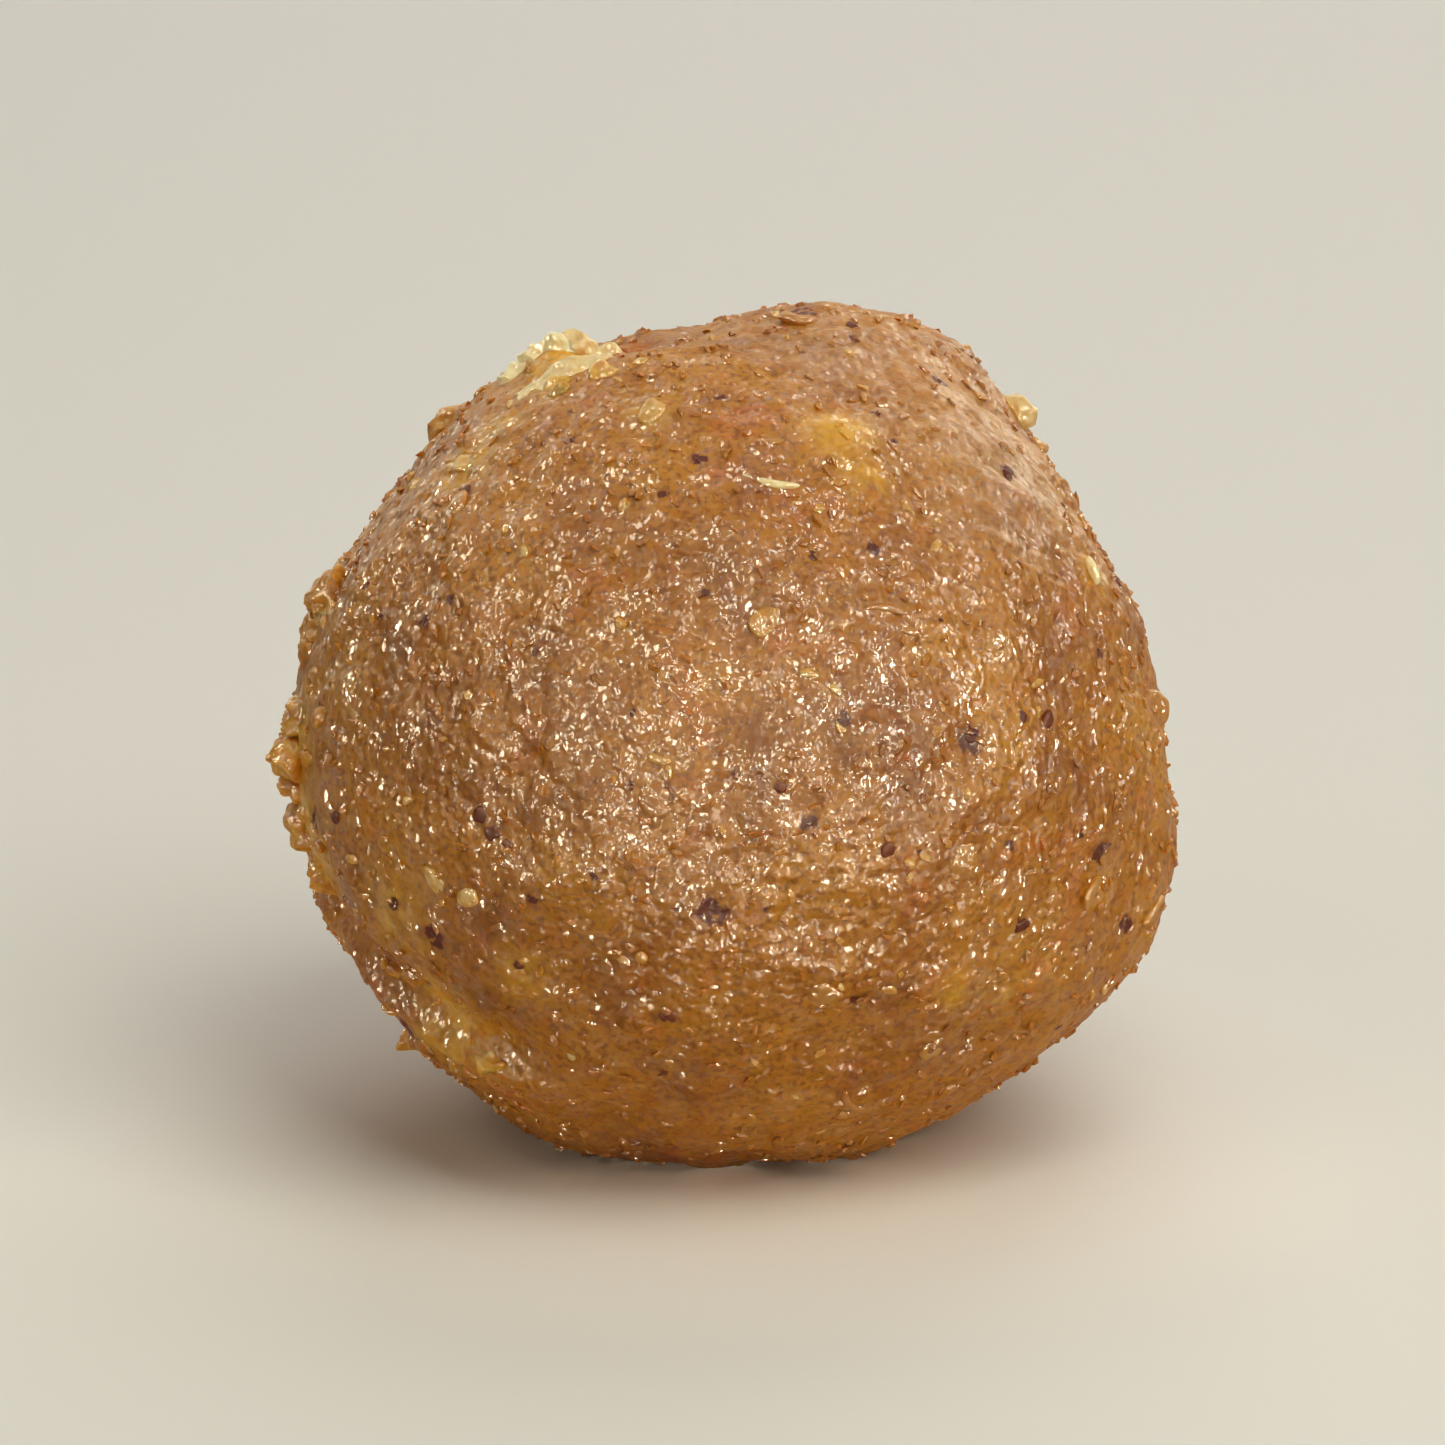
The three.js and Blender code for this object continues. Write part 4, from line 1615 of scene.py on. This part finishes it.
@dataclass
class Scatter:
    """Geometry Nodes that lay grains over the ball's surface."""

    kind: GrainKind
    lowest: float = 0.5 * MM
    tilt: float = 0.5
    sideways: float = 0.7
    thinning: float = 0.8
    unevenness: float = 0.17 * MM
    unevenness_size: float = 0.35 * MM
    most_tone: float = 0.7

    def _inputs(self) -> dict[str, float]:
        """Name the tree's inputs.

        Returns:
            Each input's value, a whole number for the seed.
        """
        kind = self.kind
        spans = {"Length": kind.length, "Width": kind.width, "Thickness": kind.thickness}
        sizes = {
            f"{name} {end}": size * MM
            for name, span in spans.items() for end, size in zip(("Low", "High"), span)}
        return sizes | {
            "Lift": kind.lift * MM, "Density": kind.per_square_mm / MM**2, "Lowest": self.lowest,
            "Tilt": self.tilt, "Thinning": self.thinning, "Unevenness": self.unevenness, "Seed": kind.seed}

    def _drawn(self, bench: Bench, low: Wire | float, high: Wire | float, step: int) -> Wire:
        """A number for each grain between a low and a high one, its seed some steps from the tree's."""
        return bench.node(
            "FunctionNodeRandomValue", {"data_type": "FLOAT"},
            {2: low, 3: high, "Seed": bench.given("Seed") + step}, output=1)

    def _turned(self, bench: Bench, upright: Wire) -> Wire:
        """Turn each grain about its own upright, then tilt it a little.

        Args:
            bench: where the nodes go.
            upright: the rotation that stands a grain on the surface.

        Returns:
            The grain's rotation.
        """
        tilt = bench.given("Tilt")
        spin = self._drawn(bench, 0.0, math.tau, 4)
        lean = self._drawn(bench, tilt * -1.0, tilt, 5)
        angles = bench.node("ShaderNodeCombineXYZ", sockets={"X": lean, "Y": lean * self.sideways, "Z": spin})
        turn = bench.node("FunctionNodeEulerToRotation", sockets={0: angles})
        return bench.node(
            "FunctionNodeRotateRotation", {"rotation_space": "LOCAL"}, {0: upright, 1: turn})

    def _laid(self, bench: Bench) -> Wire:
        """Lay the grains on the surface, above its lowest part and fewer where the paste is smooth.

        Args:
            bench: where the nodes go.

        Returns:
            The grains as instances.
        """
        place = bench.node("GeometryNodeInputPosition")
        height = bench.node("ShaderNodeSeparateXYZ", sockets={0: place}, output="Z")
        clear = bench.node(
            "FunctionNodeCompare", {"operation": "GREATER_THAN"}, {0: height, 1: bench.given("Lowest")})
        smooth = bench.node(
            "GeometryNodeInputNamedAttribute", {"data_type": "FLOAT"}, {"Name": "smooth"})
        points = bench.node("GeometryNodeDistributePointsOnFaces", sockets={
            "Mesh": bench.given("Surface"), "Selection": clear, "Seed": bench.given("Seed"),
            "Density": bench.given("Density") * (1 - smooth * bench.given("Thinning"))})
        scale = bench.node("ShaderNodeCombineXYZ", sockets={
            n: self._drawn(bench, bench.given(f"{measure} Low"), bench.given(f"{measure} High"), n + 1) * 0.5
            for n, measure in enumerate(("Length", "Width", "Thickness"))})
        grain = bench.node("GeometryNodeMeshIcoSphere", sockets={"Radius": 1.0, "Subdivisions": 1})
        laid = bench.node("GeometryNodeInstanceOnPoints", sockets={
            "Points": points, "Instance": grain, "Scale": scale,
            "Rotation": self._turned(bench, bench.other(points, "Rotation"))})
        lift = bench.node("ShaderNodeCombineXYZ", sockets={"Z": bench.given("Lift")})
        return bench.node("GeometryNodeTranslateInstances", sockets={"Instances": laid, "Translation": lift})

    def _tree(self, finish: bpy.types.Material) -> bpy.types.NodeTree:
        """Build the node tree.

        Args:
            finish: the grains' material.

        Returns:
            The tree, with the surface in and the grains out.
        """
        tree = bpy.data.node_groups.new(self.kind.name, "GeometryNodeTree")
        tree.interface.new_socket("Surface", in_out="INPUT", socket_type="NodeSocketGeometry")
        tree.interface.new_socket("Grains", in_out="OUTPUT", socket_type="NodeSocketGeometry")
        for name, value in self._inputs().items():
            socket_type = "NodeSocketInt" if isinstance(value, int) else "NodeSocketFloat"
            tree.interface.new_socket(name, in_out="INPUT", socket_type=socket_type)
        bench = Bench(tree)
        toned = bench.node(
            "GeometryNodeStoreNamedAttribute", {"data_type": "FLOAT", "domain": "INSTANCE"},
            {"Geometry": self._laid(bench), "Name": "tone",
             "Value": self._drawn(bench, 0.0, self.most_tone, 6)})
        loose = bench.node("GeometryNodeRealizeInstances", sockets={0: toned})
        swirl = bench.node(
            "ShaderNodeTexNoise", sockets={"Scale": 1 / self.unevenness_size, "Detail": 0.0}, output="Color")
        pushed = bench.scaled(
            bench.vector("SUBTRACT", swirl, bench.centre), bench.given("Unevenness") * 2.0)
        uneven = bench.node("GeometryNodeSetPosition", sockets={"Geometry": loose, "Offset": pushed})
        flaky = bench.node("GeometryNodeSetShadeSmooth", sockets={0: uneven, "Shade Smooth": False})
        dressed = bench.node("GeometryNodeSetMaterial", sockets={"Geometry": flaky, "Material": finish})
        bench.end("NodeGroupOutput", {"Grains": dressed})
        return tree

    def build(self, surface: bpy.types.Object) -> bpy.types.Object:
        """Lay the grains over a surface.

        Args:
            surface: the ball.

        Returns:
            The grains as one plain mesh.
        """
        tree = self._tree(self.kind.finish.make())
        modifier = surface.modifiers.new(self.kind.name, "NODES")
        modifier.node_group = tree
        values = self._inputs()
        for item in tree.interface.items_tree:
            if item.in_out == "INPUT" and item.name in values:
                modifier[item.identifier] = values[item.name]
        seen = surface.evaluated_get(bpy.context.evaluated_depsgraph_get())
        mesh = bpy.data.meshes.new_from_object(seen)
        surface.modifiers.remove(modifier)
        mesh.name = self.kind.name
        piece = bpy.data.objects.new(self.kind.name, mesh)
        bpy.context.scene.collection.objects.link(piece)
        return piece


GRAIN_KINDS = (
    GrainKind(
        "paste_grains", PasteFinish("paste_grain", scatter=0.15 * MM), Slot.PASTE, 0.5,
        (0.4, 0.9), (0.25, 0.5), (0.2, 0.34), -0.06, 501),
    GrainKind(
        "coconut_grains", COCONUT, Slot.COCONUT, 0.05,
        (0.4, 0.9), (0.25, 0.5), (0.2, 0.36), -0.06, 601),
)


@dataclass(frozen=True)
class Lamp:
    """A soft lamp that faces the ball, its angles in degrees as seen from the ball, azimuth 0 in front."""

    name: str
    azimuth: float
    elevation: float
    distance: float
    width: float
    height: float
    power: float
    colour: Colour
    gloss: bool = True


LAMPS = (
    Lamp("key", 36, 52, 0.5, 0.36, 0.36, 1.2, display(255, 250, 230), gloss=False),
    Lamp("overhead", 30, 80, 0.5, 0.4, 0.4, 0.55, display(255, 250, 230), gloss=False),
    Lamp("left", -50, 36, 0.5, 0.3, 0.3, 0.2, display(255, 240, 206), gloss=False),
    Lamp("low right", 62, 10, 0.5, 0.3, 0.3, 0.22, display(255, 240, 214), gloss=False),
    Lamp("back", 170, 42, 0.5, 0.36, 0.36, 0.8, display(255, 248, 236), gloss=False),
    Lamp("left window", -12, 44, 0.5, 0.1, 0.24, 2.4, display(255, 246, 220)),
    Lamp("right window", 32, 46, 0.5, 0.1, 0.24, 2.5, display(255, 248, 226)),
    Lamp("low left window", -40, 7, 0.5, 0.12, 0.18, 4.8, display(255, 242, 208)),
    Lamp("low window", 4, 5, 0.5, 0.12, 0.16, 4.8, display(255, 242, 208)),
    Lamp("low right window", 50, 7, 0.5, 0.12, 0.18, 8.0, display(255, 242, 208)),
    Lamp("left wall", -76, 34, 0.5, 0.16, 0.24, 4.4, display(255, 240, 206)),
    Lamp("right wall", 84, 28, 0.5, 0.16, 0.24, 2.3, display(255, 248, 236)),
    Lamp("back left window", -140, 22, 0.5, 0.14, 0.24, 0.8, display(255, 246, 220)),
    Lamp("back right window", 150, 20, 0.5, 0.14, 0.24, 0.8, display(255, 246, 220)),
    Lamp("low gleam", 16, -15, 0.05, 0.07, 0.008, 0.025, display(255, 240, 214)),
    Lamp("ceiling", 180, 74, 0.5, 0.7, 0.6, 1.6, display(236, 238, 240)),
    Lamp("backdrop", 180, 24, 0.5, 1.1, 1.0, 4.2, display(246, 246, 226)),
)


@dataclass
class Studio:
    """A pale floor, soft lights and the camera at the photograph's viewing angle."""

    form: BallForm
    camera_distance: float = 0.6
    frame_width: float = 65.0 * MM
    sensor: float = 36.0
    floor_radius: float = 3.0
    floor_sides: int = 96
    clip: Span = (0.01, 20.0)
    pale: Colour = display(242, 240, 234)
    ambient: float = 0.08
    mirrored_more: float = 0.04

    def floor(self) -> None:
        """Lay the floor under the ball."""
        angles = np.linspace(0, math.tau, self.floor_sides, endpoint=False)
        circle = np.stack([np.cos(angles), np.sin(angles), np.zeros(self.floor_sides)], axis=1)
        disc = new_piece("floor", circle * self.floor_radius / MM, [list(range(self.floor_sides))], {})
        disc.data.materials.append(FloorFinish().make())

    def light(self, lamp: Lamp) -> None:
        """Hang a lamp.

        Args:
            lamp: what to hang and where.
        """
        data = bpy.data.lights.new(lamp.name, "AREA")
        data.shape = "RECTANGLE"
        data.size, data.size_y = lamp.width, lamp.height
        data.energy = lamp.power
        data.color = lamp.colour
        hung = bpy.data.objects.new(lamp.name, data)
        turn, rise = math.radians(lamp.azimuth), math.radians(lamp.elevation)
        outward = Vector((math.sin(turn) * math.cos(rise), -math.cos(turn) * math.cos(rise), math.sin(rise)))
        hung.location = Vector(self.form.middle * MM) + outward * lamp.distance
        hung.rotation_euler = outward.to_track_quat("Z", "Y").to_euler()
        hung.visible_diffuse = not lamp.gloss
        hung.visible_glossy = lamp.gloss
        hung.visible_camera = False
        bpy.context.scene.collection.objects.link(hung)

    def camera(self) -> None:
        """Set the camera."""
        low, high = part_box(NODE)
        tilt = math.radians(self.form.front_tilt)
        back = Vector((0.0, -math.cos(tilt), math.sin(tilt)))
        data = bpy.data.cameras.new("camera")
        data.sensor_width = self.sensor
        data.lens = self.sensor * self.camera_distance / self.frame_width
        data.clip_start, data.clip_end = self.clip
        camera = bpy.data.objects.new("camera", data)
        camera.location = (low + high) / 2 + back * self.camera_distance
        camera.rotation_euler = back.to_track_quat("Z", "Y").to_euler()
        bpy.context.scene.collection.objects.link(camera)
        bpy.context.scene.camera = camera

    def surroundings(self) -> None:
        """Set pale surroundings, brighter where the wet film mirrors them."""
        world = bpy.data.worlds.new("surroundings")
        world.use_nodes = True
        bench = Bench(world.node_tree)
        mirrored = bench.node("ShaderNodeLightPath", output="Is Glossy Ray")
        glow = bench.node("ShaderNodeBackground", sockets={
            "Color": (*self.pale, 1.0), "Strength": mirrored * self.mirrored_more + self.ambient})
        bench.end("ShaderNodeOutputWorld", {"Surface": glow})
        bpy.context.scene.world = world

    def build(self) -> None:
        """Set up the floor, the lights, the surroundings and the camera."""
        scene = bpy.context.scene
        self.floor()
        for lamp in LAMPS:
            self.light(lamp)
        self.surroundings()
        scene.view_settings.view_transform = "Standard"
        self.camera()


def settle(piece: bpy.types.Object, replaces: bool) -> None:
    """Hand a finished piece to the frame and report it.

    Args:
        piece: the finished mesh.
        replaces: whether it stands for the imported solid.
    """
    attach(piece, BODY)
    if replaces:
        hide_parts(NODE)
    log.info("%s: %d faces", piece.name, len(piece.data.polygons))


def main() -> None:
    """Build the ladoo and its studio."""
    logging.basicConfig(level=logging.INFO, format="%(name)s %(message)s")
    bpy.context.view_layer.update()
    form = BallForm()
    dark_specks = Specks(form, DARK_SPECKS, SEEN_SPECKS)
    ball = PasteBall(form, dark_specks).build()
    for kind in GRAIN_KINDS:
        settle(Scatter(kind).build(ball), False)
    settle(ball, True)
    bits = Bits(form).build()
    settle(bits[BitKind.SCRAP].build(COCONUT), True)
    settle(bits[BitKind.SHRED].build(COCONUT), True)
    settle(bits[BitKind.SKIN].build(NUT_SKIN), True)
    settle(Crumbs(form).build().build(PasteFinish("crumb_paste")), True)
    crags = Crags(form).build()
    settle(crags[Slot.PASTE].build(PasteFinish("crag_paste")), True)
    settle(crags[Slot.COCONUT].build(COCONUT), True)
    settle(dark_specks.build().build(NUT_SKIN), False)
    settle(Specks(form, PALE_FLECKS).build().build(COCONUT), False)
    Studio(form).build()


if __name__ == "__main__":
    main()
